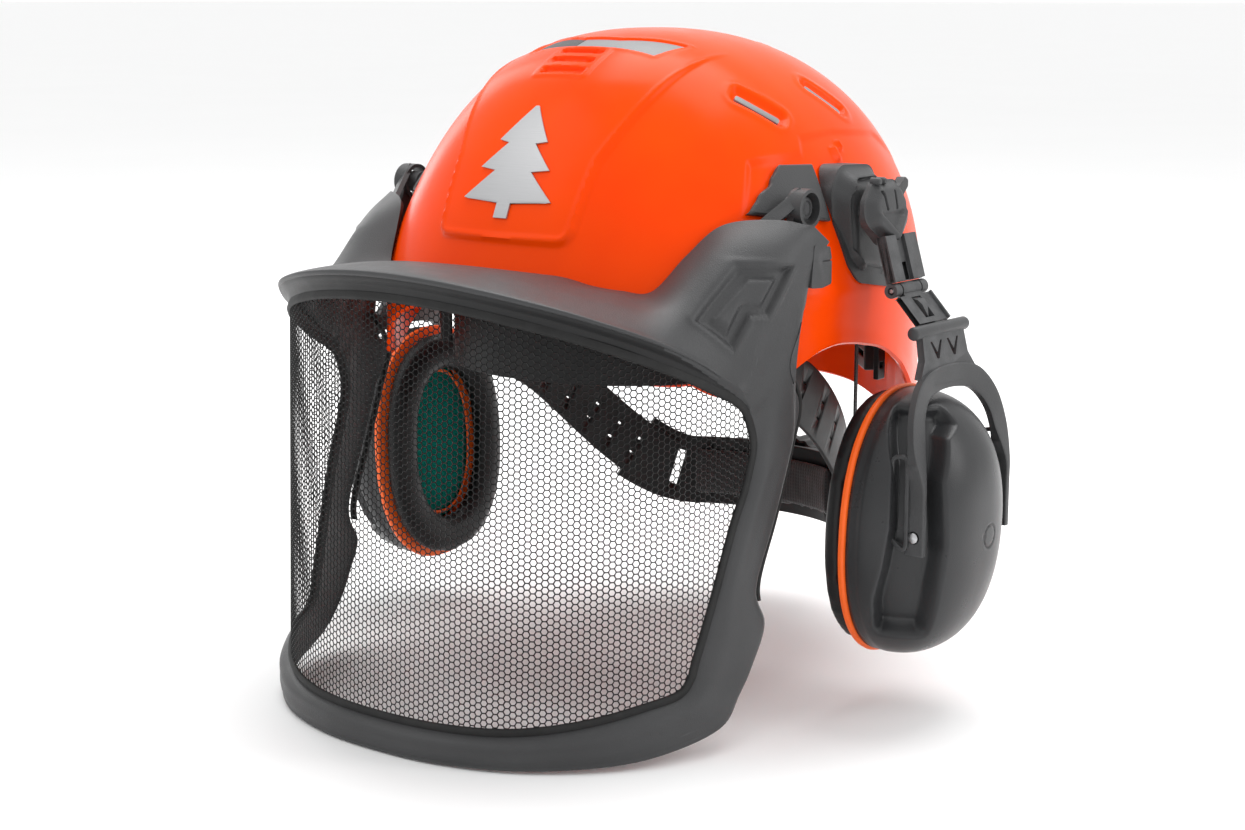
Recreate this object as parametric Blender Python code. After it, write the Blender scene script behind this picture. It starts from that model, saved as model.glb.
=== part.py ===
"""Forestry helmet: orange shell, head harness with ratchet, mesh visor and two ear muffs.

Frame: metres, +Z up, the wearer faces -Y and the wearer's left is +X. The origin is the
centre of the tilted headband ring, where a head carries the helmet.
"""
from math import cos, pi, radians, sin, tan

import bmesh
import bpy
import numpy as np
from mathutils import Matrix, Vector

# ---- driving dimensions (metres, degrees) --------------------------------------------------
GAP = 0.0004                    # clearance between neighbouring pieces

# shell: a superellipse dome that flares towards its rim
SHELL_HALF_WIDTH = 0.1027
SHELL_FRONT = 0.0941
SHELL_REAR = 0.1304
SHELL_CROWN_Z = 0.1737
SHELL_SPRING_Z = 0.0681         # below this height the walls are vertical
SHELL_FRONT_PROFILE = 2.4755
SHELL_REAR_PROFILE = 2.1721
SHELL_SIDE_PROFILE = 2.1588
SHELL_FRONT_PLAN = 2.1881
SHELL_REAR_PLAN = 2.1708
SHELL_FLARE = 0.2131
SHELL_WALL = 0.0024
VENT_GAP = 0.0015               # from the inner wall down to the vent inserts
SHELL_COLUMNS = 48
SHELL_ROWS = 11
# rim height against the plan angle: -90 front, 0 side, 90 rear
RIM = ((-90, 0.0600), (-70, 0.0580), (-57, 0.0490), (-47, 0.0335), (-38, 0.0290),
       (-30, 0.0320), (-23, 0.0400), (-16, 0.0455), (-8, 0.0465), (3, 0.0420),
       (13, 0.0310), (21, 0.0180), (30, 0.0040), (40, -0.0055), (52, -0.0085),
       (65, -0.0040), (77, 0.0020), (90, 0.0045))
# side vents: plan angle, height, half length, half width, slope in degrees
SIDE_VENTS = {"front": (-20.0, 0.1425, 0.0115, 0.0030, -42.0),
              "rear": (12.5, 0.1445, 0.0110, 0.0026, -52.0)}
# crown vents: outline in plan
CROWN_VENTS = {
    "crown_vent_front": ((-0.033, -0.044), (0.0, -0.0465), (0.033, -0.044), (0.038, -0.026),
                         (0.010, -0.0367), (-0.010, -0.0367), (-0.038, -0.026)),
    "crown_vent_rear": ((-0.026, 0.046), (0.026, 0.046), (0.030, 0.060), (-0.030, 0.060))}
EMBLEM_LOW = 0.0970
EMBLEM_HIGH = 0.1410
# emblem: share of its height against half width, three stacked boughs on a trunk
EMBLEM = ((0.0, 0.0035), (0.14, 0.0035), (0.16, 0.0230), (0.42, 0.0095), (0.44, 0.0180),
          (0.67, 0.0070), (0.69, 0.0125), (1.0, 0.0008))

# visor: a curved sheet, straight behind the temples
SHEET_HALF_WIDTH = 0.115
SHEET_SIDE_Y = -0.055
SHEET_REACH = 0.118
SHEET_PLAN = 2.3
SHEET_LEAN = 0.045
SHEET_TOP_Z = 0.077
FRAME_WALL = 0.0026
BRIM_GAP = 0.0009               # from the shell to the rear edge of the brim
SCREEN_WALL = 0.0005
RIM_WIDTH = 0.0022
VISOR_PIVOT = (-0.0430, 0.1035)  # y, z of the tilt axis
BOSS_RADIUS = 0.0046

# ear muffs and their arms: the left side, the right one is its mirror image
MUFF_CENTRE = (0.1322, -0.0055, -0.0275)
MUFF_TILT = 2.5
CUP_HALF_LENGTH = 0.0405
CUP_HALF_HEIGHT = 0.0560
CUP_DEPTH = 0.0405
CUP_PLAN = 2.25
CUP_PROFILE = 2.6
CUP_WALL = 0.0024
GROOVE_DEPTH = 0.0092
PLATE_THICK = 0.0030
CUSHION_DEPTH = 0.0140          # from the cup's open edge to the face on the head
OPENING_LENGTH = 0.52           # ear opening as a share of the cup
OPENING_HEIGHT = 0.62
HUB = (0.1185, -0.0030, 0.0990)
KNEE = (0.1325, -0.0030, 0.0690)
TEE = (0.1470, -0.0010, 0.0535)
CUP_PIVOT = (0.1585, -0.0010, -0.0260)
LEG_SPREAD = 0.0345
LEG_THICK = 0.0030
LEG_BROAD = 0.0084
ARM_WIDTH = 0.0250
PIN_RADIUS = 0.0022

# harness
BAND_HALF_WIDTH = 0.0765
BAND_FRONT = 0.0940
BAND_REAR = 0.0975
BAND_PLAN = 2.3
BAND_THICK = 0.0020
BAND_WIDTH = 0.0270
BROW_Z = 0.0430
NAPE_Z = -0.0460
RATCHET = (0.0, 0.1075, -0.0460)
PINION_TEETH = 12
GEAR_MODULE = 0.001
GEAR_WIDTH = 0.0034
BACKLASH = 0.00014              # each flank of both gears is set back by this
KNOB_RADIUS = 0.0170

SIDES = (("L", 1), ("R", -1))

COLOURS = {
    "shell_orange": ((0.90, 0.13, 0.01), 0.22, 0.0),
    "frame_grey": ((0.085, 0.086, 0.088), 0.55, 0.0),
    "fitting_grey": ((0.055, 0.056, 0.058), 0.60, 0.0),
    "cup_grey": ((0.030, 0.031, 0.033), 0.38, 0.0),
    "black_plastic": ((0.012, 0.012, 0.013), 0.50, 0.0),
    "black_rubber": ((0.010, 0.010, 0.010), 0.70, 0.0),
    "mesh_black": ((0.006, 0.006, 0.006), 0.45, 0.3),
    "vent_grey": ((0.20, 0.205, 0.21), 0.50, 0.2),
    "emblem_silver": ((0.62, 0.62, 0.62), 0.30, 0.8),
    "ring_orange": ((0.85, 0.15, 0.02), 0.45, 0.0),
    "cushion_black": ((0.012, 0.012, 0.013), 0.42, 0.0),
    "foam_teal": ((0.005, 0.12, 0.095), 0.95, 0.0),
    "webbing_black": ((0.018, 0.018, 0.018), 0.85, 0.0),
    "steel": ((0.45, 0.45, 0.46), 0.30, 1.0),
}


# ---- scene and object helpers --------------------------------------------------------------
def clear_scene():
    for obj in list(bpy.data.objects):
        bpy.data.objects.remove(obj, do_unlink=True)


def material(name):
    if name in bpy.data.materials:
        return bpy.data.materials[name]
    colour, rough, metal = COLOURS[name]
    mat = bpy.data.materials.new(name)
    mat.use_nodes = True
    shader = mat.node_tree.nodes["Principled BSDF"]
    shader.inputs["Base Color"].default_value = (*colour, 1.0)
    shader.inputs["Roughness"].default_value = rough
    shader.inputs["Metallic"].default_value = metal
    return mat


class Axis:
    """An empty on a joint's axis and its place in the world."""

    def __init__(self, name, place, parent=None):
        self.place = Vector(place)
        self.empty = bpy.data.objects.new(name, None)
        self.empty.empty_display_size = 0.01
        bpy.context.scene.collection.objects.link(self.empty)
        self.empty.location = self.place
        if parent is not None:
            self.empty.parent = parent.empty
            self.empty.location = self.place - parent.place


def add_part(name, bm, colour, axis=None, sharp=40):
    """One named object from a mesh in world space, placed on its joint's axis."""
    bmesh.ops.remove_doubles(bm, verts=bm.verts, dist=1e-6)
    bmesh.ops.recalc_face_normals(bm, faces=bm.faces)
    mesh = bpy.data.meshes.new(name)
    bm.to_mesh(mesh)
    bm.free()
    mesh.shade_smooth()
    mesh.set_sharp_from_angle(angle=radians(sharp))
    mesh.materials.append(material(colour))
    obj = bpy.data.objects.new(name, mesh)
    bpy.context.scene.collection.objects.link(obj)
    if axis is not None:
        mesh.transform(Matrix.Translation(-axis.place))
        obj.parent = axis.empty
    return obj


def solidify(obj, thickness, offset=-1.0, even=True):
    mod = obj.modifiers.new("wall", "SOLIDIFY")
    mod.thickness = thickness
    mod.offset = offset
    mod.use_even_offset = even
    return obj


def combine(obj, name, bm, axis=None, operation="DIFFERENCE"):
    """A boolean with a tool that stays out of the build."""
    tool = add_part(name, bm, "black_plastic", axis)
    tool.hide_render = True
    tool.display_type = "WIRE"
    mod = obj.modifiers.new(name, "BOOLEAN")
    mod.operation = operation
    mod.solver = "EXACT"
    mod.object = tool
    return obj


def on_side(bm, side):
    """The left-hand mesh, or its mirror image for the right side."""
    if side < 0:
        bmesh.ops.scale(bm, vec=(-1.0, 1.0, 1.0), verts=bm.verts)
        bmesh.ops.reverse_faces(bm, faces=bm.faces)
    return bm


# ---- shape helpers -------------------------------------------------------------------------
def spow(value, power):
    return np.sign(value) * np.abs(value) ** power


def smoothstep(low, high, value):
    t = np.clip((np.asarray(value, float) - low) / (high - low), 0.0, 1.0)
    return t * t * (3.0 - 2.0 * t)


def smooth_curve(keys, at):
    """Catmull-Rom through rows of keys, read at positions 0 .. len(keys) - 1."""
    keys = np.asarray(keys, float)
    at = np.clip(np.asarray(at, float), 0, len(keys) - 1 - 1e-9)
    i = np.floor(at).astype(int)
    t = (at - i)[..., None]
    p0 = keys[np.maximum(i - 1, 0)]
    p1 = keys[i]
    p2 = keys[np.minimum(i + 1, len(keys) - 1)]
    p3 = keys[np.minimum(i + 2, len(keys) - 1)]
    return 0.5 * (2 * p1 + (p2 - p0) * t + (2 * p0 - 5 * p1 + 4 * p2 - p3) * t ** 2
                  + (3 * p1 - p0 - 3 * p2 + p3) * t ** 3)


def surface_bm(grid, closed=False, pole=None):
    """Quads over a grid of points; closed wraps the columns, pole caps the last row."""
    bm = bmesh.new()
    rows = [[bm.verts.new(p) for p in row] for row in grid]
    count = len(rows[0])
    for low, high in zip(rows, rows[1:]):
        for j in range(count if closed else count - 1):
            k = (j + 1) % count
            bm.faces.new((low[j], low[k], high[k], high[j]))
    if pole is not None:
        tip = bm.verts.new(pole)
        for j in range(count if closed else count - 1):
            bm.faces.new((rows[-1][j], rows[-1][(j + 1) % count], tip))
    return bm


def loft(loops):
    """A closed solid through loops of points; the first and last loops are capped."""
    bm = surface_bm(loops, closed=True)
    bm.verts.ensure_lookup_table()
    count = len(loops[0])
    last = len(loops) * count - count
    bm.faces.new([bm.verts[j] for j in range(count)][::-1])
    bm.faces.new([bm.verts[last + j] for j in range(count)])
    return bm


def ring(loops):
    """A closed ring: loops of points that wrap both ways."""
    return surface_bm(list(loops) + [loops[0]], closed=True)


def place(a, b, h, axis):
    if axis == "X":
        return (h, a, b)
    if axis == "Y":
        return (a, h, b)
    return (a, b, h)


def prism(outline, low, high, axis="X", bevel=0.0):
    """An outline extruded along an axis; bevel slopes its far edge."""
    near = [place(a, b, low, axis) for a, b in outline]
    if not bevel:
        return loft([near, [place(a, b, high, axis) for a, b in outline]])
    middle = np.mean(np.array(outline), axis=0)
    size = np.max(np.abs(np.array(outline) - middle))
    shrink = 1 - bevel / size
    top = [tuple(middle + (np.array(p) - middle) * shrink) for p in outline]
    return loft([near, [place(a, b, high - bevel, axis) for a, b in outline],
                 [place(a, b, high, axis) for a, b in top]])


def rounded(corners, radius, steps=3):
    """A closed outline with its corners rounded."""
    out = []
    points = [Vector(c) for c in corners]
    for i, here in enumerate(points):
        to_last = points[i - 1] - here
        to_next = points[(i + 1) % len(points)] - here
        half = to_last.angle(to_next) / 2
        reach = min(radius / tan(half), to_last.length * 0.48, to_next.length * 0.48)
        start = here + to_last.normalized() * reach
        end = here + to_next.normalized() * reach
        for k in range(steps + 1):
            t = k / steps
            point = start * (1 - t) ** 2 + here * 2 * t * (1 - t) + end * t ** 2
            out.append((point.x, point.y))
    return out


def circle(radius, steps=20, centre=(0.0, 0.0), start=0.0):
    return [(centre[0] + radius * cos(start + 2 * pi * k / steps),
             centre[1] + radius * sin(start + 2 * pi * k / steps)) for k in range(steps)]


def capsule(first, second, radius_first, radius_second, steps=8):
    """The outline round two circles of different size."""
    p, q = Vector(first), Vector(second)
    along = (q - p).normalized()
    turn = np.arctan2(along.y, along.x)
    lean = np.arccos((radius_first - radius_second) / (q - p).length)
    out = []
    for centre, radius, start, end in ((p, radius_first, turn + lean, turn + 2 * pi - lean),
                                       (q, radius_second, turn - lean, turn + lean)):
        for k in range(steps + 1):
            a = start + (end - start) * k / steps
            out.append((centre.x + radius * cos(a), centre.y + radius * sin(a)))
    return out


def cylinder(radius, low, high, centre, axis="X", steps=20):
    return prism(circle(radius, steps, centre), low, high, axis)


def box(low, high):
    outline = [(low[0], low[1]), (high[0], low[1]), (high[0], high[1]), (low[0], high[1])]
    return prism(outline, low[2], high[2], "Z")


def slab(corner, along, across, up, sizes):
    """A box from the middle of its first end: sizes are length, width and height."""
    length, width, height = sizes
    corner, along, across, up = Vector(corner), Vector(along), Vector(across), Vector(up)
    loops = []
    for share in (0.0, 1.0):
        here = corner + along * length * share
        loops.append([here - across * width / 2 - up * height / 2,
                      here + across * width / 2 - up * height / 2,
                      here + across * width / 2 + up * height / 2,
                      here - across * width / 2 + up * height / 2])
    return loft(loops)


def ribbon(centres, outwards, ups, width, thickness, closed=False):
    """A flat strip along a line of centres."""
    loops = []
    for c, n, u in zip(centres, outwards, ups):
        c, n, u = Vector(c), Vector(n) * thickness / 2, Vector(u) * width / 2
        loops.append([c - u - n, c + u - n, c + u + n, c - u + n])
    return ring(loops) if closed else loft(loops)


# ---- shell ---------------------------------------------------------------------------------
def shell_point(angle, z, proud=0.0):
    """A point of the outer surface; angle in radians, 0 at +X and pi/2 at the rear."""
    angle, z = np.broadcast_arrays(np.asarray(angle, float), np.asarray(z, float))
    h = np.clip((z - SHELL_SPRING_Z) / (SHELL_CROWN_Z - SHELL_SPRING_Z), 0.0, 1.0)
    c, s = np.cos(angle), np.sin(angle)
    end = np.abs(s) ** 1.5
    profile = np.where(s < 0, SHELL_FRONT_PROFILE, SHELL_REAR_PROFILE) * end
    profile = profile + SHELL_SIDE_PROFILE * (1 - end)
    shrink = (1 - h ** profile) ** (1 / profile)
    shrink = shrink * (1 + SHELL_FLARE * (1 - h) ** 2 * (0.5 - 0.5 * s))
    length = np.where(s < 0, SHELL_FRONT, SHELL_REAR)
    plan = np.where(s < 0, SHELL_FRONT_PLAN, SHELL_REAR_PLAN)
    point = np.stack([SHELL_HALF_WIDTH * shrink * spow(c, 2 / plan),
                      length * shrink * spow(s, 2 / plan), z], -1)
    if proud:
        point = point + shell_normal(angle, z) * proud
    return point


def shell_normal(angle, z):
    step = 1e-4
    across = shell_point(angle + step, z) - shell_point(angle - step, z)
    high = np.minimum(z + step, SHELL_CROWN_Z - 1e-5)
    rise = shell_point(angle, high) - shell_point(angle, high - 2 * step)
    normal = np.cross(across, rise)
    return normal / np.linalg.norm(normal, axis=-1, keepdims=True)


def angle_where(coordinate, value, z, low, high):
    """The plan angle between low and high where x or y of the surface has a value."""
    rising = shell_point(high, z)[coordinate] > shell_point(low, z)[coordinate]
    for _ in range(40):
        middle = (low + high) / 2
        if (shell_point(middle, z)[coordinate] < value) == rising:
            low = middle
        else:
            high = middle
    return (low + high) / 2


def shell_reach(turn, z):
    """Distance from the centre line to the outer surface in a plan direction."""
    points = shell_point(np.linspace(turn - 0.25, turn + 0.25, 41), z)
    seen = np.arctan2(points[:, 1], points[:, 0])
    return float(np.interp(turn, seen, np.hypot(points[:, 0], points[:, 1])))


def shell_top(x, y):
    """Height of the outer surface over a point in plan, on the crown."""
    low, high = 0.10, SHELL_CROWN_Z
    for _ in range(40):
        middle = (low + high) / 2
        if shell_reach(np.arctan2(y, x), middle) > np.hypot(x, y):
            low = middle
        else:
            high = middle
    return low


def off_shell(point, gap):
    """A point moved out, in plan, until it clears the shell by a gap."""
    turn = np.arctan2(point[1], point[0])
    reach = shell_reach(turn, point[2] - FRAME_WALL) + gap
    grow = max(1.0, reach / np.hypot(point[0], point[1]))
    return Vector((point[0] * grow, point[1] * grow, point[2]))


def rim_height(angle):
    """Height of the rim; the shell is the same on both sides."""
    fold = np.degrees(np.arcsin(np.clip(np.sin(angle), -1, 1)))
    keys = np.array(RIM)
    return smooth_curve(keys, np.interp(fold, keys[:, 0], np.arange(len(keys))))[..., 1]


def dome(proud=0.0):
    angles = np.linspace(0, 2 * pi, SHELL_COLUMNS, endpoint=False)
    foot = rim_height(angles)
    shares = np.sin(np.linspace(0, 1, SHELL_ROWS + 1)[:-1] * pi / 2)
    grid = [shell_point(angles, foot + (SHELL_CROWN_Z - foot) * s, proud) for s in shares]
    return surface_bm(grid, closed=True, pole=(0, 0, SHELL_CROWN_Z + proud))


def solid_dome():
    """A closed dome one clearance outside the shell, to shape what sits on it."""
    bm = dome(GAP)
    bm.verts.ensure_lookup_table()
    bm.faces.new([bm.verts[j] for j in range(SHELL_COLUMNS)][::-1])
    return bm


def slot_loops(vent, depths):
    """The outline of a side vent at several depths below the surface."""
    angle, z, half_long, half_wide, slope = SIDE_VENTS[vent]
    at = Vector(shell_point(radians(angle), z))
    normal = Vector(shell_normal(radians(angle), np.array(z)))
    along = Vector((-normal.y, normal.x, 0)).normalized()
    up = normal.cross(along)
    turn = radians(slope)
    a = along * cos(turn) + up * sin(turn)
    b = up * cos(turn) - along * sin(turn)
    p, q = half_long, half_wide
    outline = rounded([(-p, -q), (p, -q), (p, q), (-p, q)], q * 0.95, 2)
    return [[at + a * i + b * j - normal * d for i, j in outline] for d in depths]


def make_shell():
    shell = solidify(add_part("shell", dome(), "shell_orange"), SHELL_WALL)
    for name, side in SIDES:
        for vent in SIDE_VENTS:
            bm = on_side(loft(slot_loops(vent, (0.008, -0.008))), side)
            combine(shell, f"side_vent_{vent}_tool_{name}", bm)
        angles = np.radians(np.linspace(-34, 24, 9))
        grid = [shell_point(angles, z, -SHELL_WALL - VENT_GAP) for z in np.linspace(0.131, 0.157, 5)]
        liner = add_part(f"side_vent_liner_{name}", on_side(surface_bm(grid), side), "vent_grey")
        solidify(liner, 0.0008)
    for name, outline in CROWN_VENTS.items():
        tool = prism(rounded(outline, 0.0025, 2), 0.13, 0.19, "Z")
        combine(shell, name + "_tool", tool)
        xs, ys = [p[0] for p in outline], [p[1] for p in outline]
        grid = []
        for y in np.linspace(min(ys) - 0.004, max(ys) + 0.004, 5):
            row = [(x, y) for x in np.linspace(min(xs) - 0.004, max(xs) + 0.004, 9)]
            grid.append([(x, y, shell_top(x, y) - SHELL_WALL - VENT_GAP) for x, y in row])
        solidify(add_part(name, surface_bm(grid), "black_plastic"), 0.0010)


def make_emblem():
    """A generic conifer: a plate that follows the front of the shell."""
    grid = []
    for share, half in EMBLEM:
        z = EMBLEM_LOW + (EMBLEM_HIGH - EMBLEM_LOW) * share
        row = []
        for k in range(9):
            x = half * (k / 4 - 1)
            angle = angle_where(0, x, z, -pi + 0.2, -0.2)
            row.append(shell_point(angle, z, GAP))
        grid.append(row)
    emblem = add_part("conifer_emblem", surface_bm(grid), "emblem_silver")
    solidify(emblem, 0.0010, offset=1.0)


# ---- visor ---------------------------------------------------------------------------------
def sheet_table():
    turn = np.linspace(0, pi / 2, 2001)
    x = SHEET_HALF_WIDTH * spow(np.cos(turn), 2 / SHEET_PLAN)
    reach = SHEET_REACH + SHEET_TOP_Z * SHEET_LEAN
    y = -reach * spow(np.sin(turn), 2 / SHEET_PLAN)
    length = np.concatenate([[0], np.cumsum(np.hypot(np.diff(x), np.diff(y)))])
    return turn, length[-1] - length


SHEET_TURN, SHEET_LENGTH = sheet_table()


def sheet_point(u, z, off=0.0):
    """A point of the visor's sheet: u runs round it from the front, off is outward."""
    u, z, off = np.broadcast_arrays(np.asarray(u, float), z, off)
    turn = np.interp(np.abs(u), SHEET_LENGTH[::-1], SHEET_TURN[::-1])
    reach = SHEET_REACH + (SHEET_TOP_Z - z) * SHEET_LEAN + off
    x = (SHEET_HALF_WIDTH + off) * spow(np.cos(turn), 2 / SHEET_PLAN)
    y = SHEET_SIDE_Y - reach * spow(np.sin(turn), 2 / SHEET_PLAN)
    y = y + np.clip(np.abs(u) - SHEET_LENGTH[0], 0, None)
    return np.stack([x * np.where(u < 0, -1, 1), y, z + 0.0 * u], -1)


# One half of the frame from the top centre round to the bottom centre. Each station has the
# screen's edge (u, z). Brim stations then have the point where the brim ends, against the
# shell; rail stations have the rail's outer edge (u, z).
BRIM = (((0.000, 0.0735), (0.0000, -0.1118, 0.0778)), ((0.023, 0.0726), (0.0185, -0.1108, 0.0776)),
        ((0.045, 0.0700), (0.0360, -0.1080, 0.0768)), ((0.066, 0.0659), (0.0490, -0.1050, 0.0740)),
        ((0.085, 0.0609), (0.0600, -0.1005, 0.0725)), ((0.110, 0.0523), (0.0705, -0.0945, 0.0725)),
        ((0.128, 0.0448), (0.0785, -0.0830, 0.0860)), ((0.141, 0.0387), (0.0875, -0.0715, 0.0975)),
        ((0.150, 0.0345), (0.1030, -0.0605, 0.1000)), ((0.1560, 0.0300), (0.1165, -0.0490, 0.0975)),
        ((0.1590, 0.0252), (0.1183, -0.0400, 0.0905)))
RAIL = (((0.1610, 0.0200), (0.1965, 0.0800)), ((0.1620, 0.0160), (0.1925, 0.0650)),
        ((0.1622, 0.0110), (0.1795, 0.0440)), ((0.1600, 0.0030), (0.1895, 0.0269)),
        ((0.1574, -0.0050), (0.1835, 0.0080)), ((0.1515, -0.0185), (0.1740, -0.0170)),
        ((0.1432, -0.0440), (0.1635, -0.0440)), ((0.1390, -0.0565), (0.1690, -0.0600)),
        ((0.1345, -0.0700), (0.1626, -0.0750)), ((0.1325, -0.0764), (0.1553, -0.0865)),
        ((0.1269, -0.0824), (0.1440, -0.0975)), ((0.1101, -0.0862), (0.1185, -0.1035)),
        ((0.0867, -0.0910), (0.0945, -0.1060)), ((0.060, -0.0945), (0.0630, -0.1072)),
        ((0.030, -0.0955), (0.0310, -0.1077)), ((0.000, -0.0957), (0.0000, -0.1078)))
LIP_RISE = 0.0080
LIP_PROUD = 0.0034


def lip_fade(u):
    """1 along the brim's lip, 0 where it has run out into the wing."""
    return 1 - float(smoothstep(0.115, 0.156, u))


def brim_section(edge, end):
    """Seven points from the screen's edge over the lip to the shell."""
    u, z = edge
    fade = lip_fade(u)
    rise = LIP_RISE * (0.55 + 0.45 * fade)
    start = Vector(sheet_point(u, z))
    strip = Vector(sheet_point(u, z + rise * 0.45, 0.0014))
    crest = Vector(sheet_point(u, z + rise, 0.0012 + LIP_PROUD * (0.4 + 0.6 * fade)))
    back = Vector(sheet_point(u, z + rise * 1.22, LIP_PROUD * 0.25))
    end = off_shell(end, BRIM_GAP)
    flat = back.lerp(end, 0.5) + Vector((0, 0, 0.004 * fade))
    corner = Vector(sheet_point(0.97 * abs(u) + 0.005, end.z - 0.002, 0.0015))
    corner = Vector((max(corner.x, end.x), min(corner.y, end.y), corner.z))
    bend = flat.lerp(corner, 0.9 * float(smoothstep(0.095, 0.150, u)))
    points = [start, strip, crest, back]
    for t in (0.35, 0.7):
        points.append(back * (1 - t) ** 2 + bend * 2 * t * (1 - t) + end * t ** 2)
    return points + [end]


def rail_section(edge, end):
    """Seven points across a rail, from the screen's edge to its outer edge."""
    low = smoothstep(-0.085, -0.1035, end[1])
    proud = 0.0030 + 0.0014 * float(low)
    offs = (0.0, 0.55 * proud, proud, proud, proud, 0.8 * proud, 0.0006 + 0.0030 * float(low))
    shares = (0.0, 0.10, 0.26, 0.48, 0.70, 0.90, 1.0)
    return [Vector(sheet_point(edge[0] + (end[0] - edge[0]) * s,
                               edge[1] + (end[1] - edge[1]) * s, off))
            for s, off in zip(shares, offs)]


def mirror_x(point):
    return Vector((-point[0], point[1], point[2]))


def frame_loops():
    half = [brim_section(*station) for station in BRIM]
    half = half + [rail_section(*station) for station in RAIL]
    other = [[mirror_x(p) for p in section] for section in half[1:-1]]
    sections = half + other[::-1]
    return [[section[i] for section in sections] for i in range(7)]


def screen_outline(inset):
    """The screen's edge (u, z) as a closed line, moved inwards by inset."""
    half = np.array([station[0] for station in BRIM + RAIL], float)
    loop = np.concatenate([half, half[-2:0:-1] * (-1, 1)])
    along = np.roll(loop, -1, axis=0) - np.roll(loop, 1, axis=0)
    along = along / np.linalg.norm(along, axis=1, keepdims=True)
    return loop + np.stack([along[:, 1], -along[:, 0]], 1) * inset


def make_visor(axis):
    frame = add_part("visor_frame", surface_bm(frame_loops(), closed=True), "frame_grey", axis,
                     sharp=34)
    solidify(frame, FRAME_WALL, even=False)

    loops = []
    for inset, off in ((GAP, -0.0010), (GAP + RIM_WIDTH, -0.0010),
                       (GAP + RIM_WIDTH, 0.0006), (GAP, 0.0002)):
        outline = screen_outline(inset)
        loops.append(sheet_point(outline[:, 0], outline[:, 1], off))
    add_part("mesh_rim", ring(loops), "black_rubber", axis)

    outline = screen_outline(2 * GAP + RIM_WIDTH)
    count = len(outline)
    shares = (1.0, 0.93, 0.8, 0.6, 0.35)
    middle = np.array((0.0, -0.012))
    grid = []
    for share in shares:
        flat = middle + (outline - middle) * share
        grid.append(sheet_point(flat[:, 0], flat[:, 1], -0.0002))
    bm = surface_bm(grid, closed=True)
    bm.verts.ensure_lookup_table()
    start = (len(shares) - 1) * count
    low = [start + j for j in range(count)]
    left, right = low[:count // 2 + 1], [low[0]] + low[:count // 2 - 1:-1]
    for a, b, c, d in zip(left, right, left[1:], right[1:]):
        corners = []
        for index in (a, c, d, b):
            if index not in corners:
                corners.append(index)
        bm.faces.new([bm.verts[index] for index in corners])
    screen = add_part("visor_mesh", bm, "mesh_black", axis)
    solidify(screen, SCREEN_WALL, offset=0.0)

    for name, side in SIDES:
        y, z = VISOR_PIVOT
        arm = capsule((y, z), (-0.0530, 0.0800), 0.0078, 0.0046)
        lever = add_part(f"visor_arm_{name}", on_side(prism(arm, 0.1050, 0.1080), side),
                         "fitting_grey", axis)
        hole = cylinder(BOSS_RADIUS + GAP, 0.100, 0.112, (y, z))
        combine(lever, f"visor_arm_hole_{name}", on_side(hole, side), axis)
        block = rounded([(-0.0462, 0.0838), (-0.0372, 0.0846), (-0.0372, 0.0725),
                         (-0.0440, 0.0695), (-0.0497, 0.0695)], 0.0018, 2)
        add_part(f"slide_block_{name}", on_side(prism(block, 0.1130, 0.1178, bevel=0.0008), side),
                 "fitting_grey", axis)
        make_edge_seal(name, side, axis)


def make_edge_seal(name, side, axis):
    """A thin strip along the rear edge of the side rail."""
    ends = np.array([station[1] for station in RAIL[2:8]], float)
    line = smooth_curve(ends, np.linspace(0, len(ends) - 1, 13))
    loops = []
    for u, z in line:
        loops.append([sheet_point(u + a, z, off) for a, off in
                      ((0.0009, -0.0022), (0.0027, -0.0022), (0.0027, -0.0004),
                       (0.0009, -0.0004))])
    add_part(f"edge_seal_{name}", on_side(loft(loops), side), "black_rubber", axis)


# ---- fittings on the shell's sides ---------------------------------------------------------
def side_patch(corners, steps):
    """A grid over four (y, z) corners, laid on the shell's left side."""
    a, b, c, d = (np.array(p) for p in corners)
    grid = []
    for v in np.linspace(0, 1, steps):
        row = []
        for u in np.linspace(0, 1, steps):
            y, z = (a * (1 - u) + b * u) * (1 - v) + (d * (1 - u) + c * u) * v
            row.append(shell_point(angle_where(1, y, z, -pi / 2 + 0.05, pi / 2 - 0.05), z,
                                   GAP))
        grid.append(row)
    return surface_bm(grid)


def make_side_fittings(name, side):
    y, z = VISOR_PIVOT
    corners = ((-0.0570, 0.0975), (-0.0305, 0.0950), (-0.0305, 0.1180), (-0.0430, 0.1165))
    plate = add_part(f"visor_pivot_plate_{name}", on_side(side_patch(corners, 4), side),
                     "fitting_grey")
    solidify(plate, 0.0020, offset=1.0)
    boss = cylinder(BOSS_RADIUS, 0.1010, 0.1092, (y, z))
    combine(plate, f"visor_pivot_boss_{name}", on_side(boss, side), operation="UNION")

    outline = rounded([(-0.0190, 0.1190), (0.0120, 0.1170), (0.0290, 0.1040), (0.0290, 0.0760),
                       (0.0110, 0.0655), (-0.0210, 0.0690), (-0.0275, 0.0860),
                       (-0.0275, 0.1070)], 0.0060, 3)
    middle = np.array((0.0005, 0.0930))
    loops = []
    for x, share in ((0.0860, 1.0), (0.1105, 1.0), (0.1150, 0.93), (0.1168, 0.84)):
        loops.append([(x, *(middle + (np.array(p) - middle) * share)) for p in outline])
    housing = add_part(f"slot_housing_{name}", on_side(loft(loops), side), "fitting_grey")
    combine(housing, f"slot_housing_tool_{name}", solid_dome())


# ---- muff arms -----------------------------------------------------------------------------
def knee_direction():
    """Along the lower arm, and outward from it."""
    along = (Vector(TEE) - Vector(KNEE))
    along.y = 0.0
    along.normalize()
    return along, Vector((-along.z, 0.0, along.x))


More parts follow.
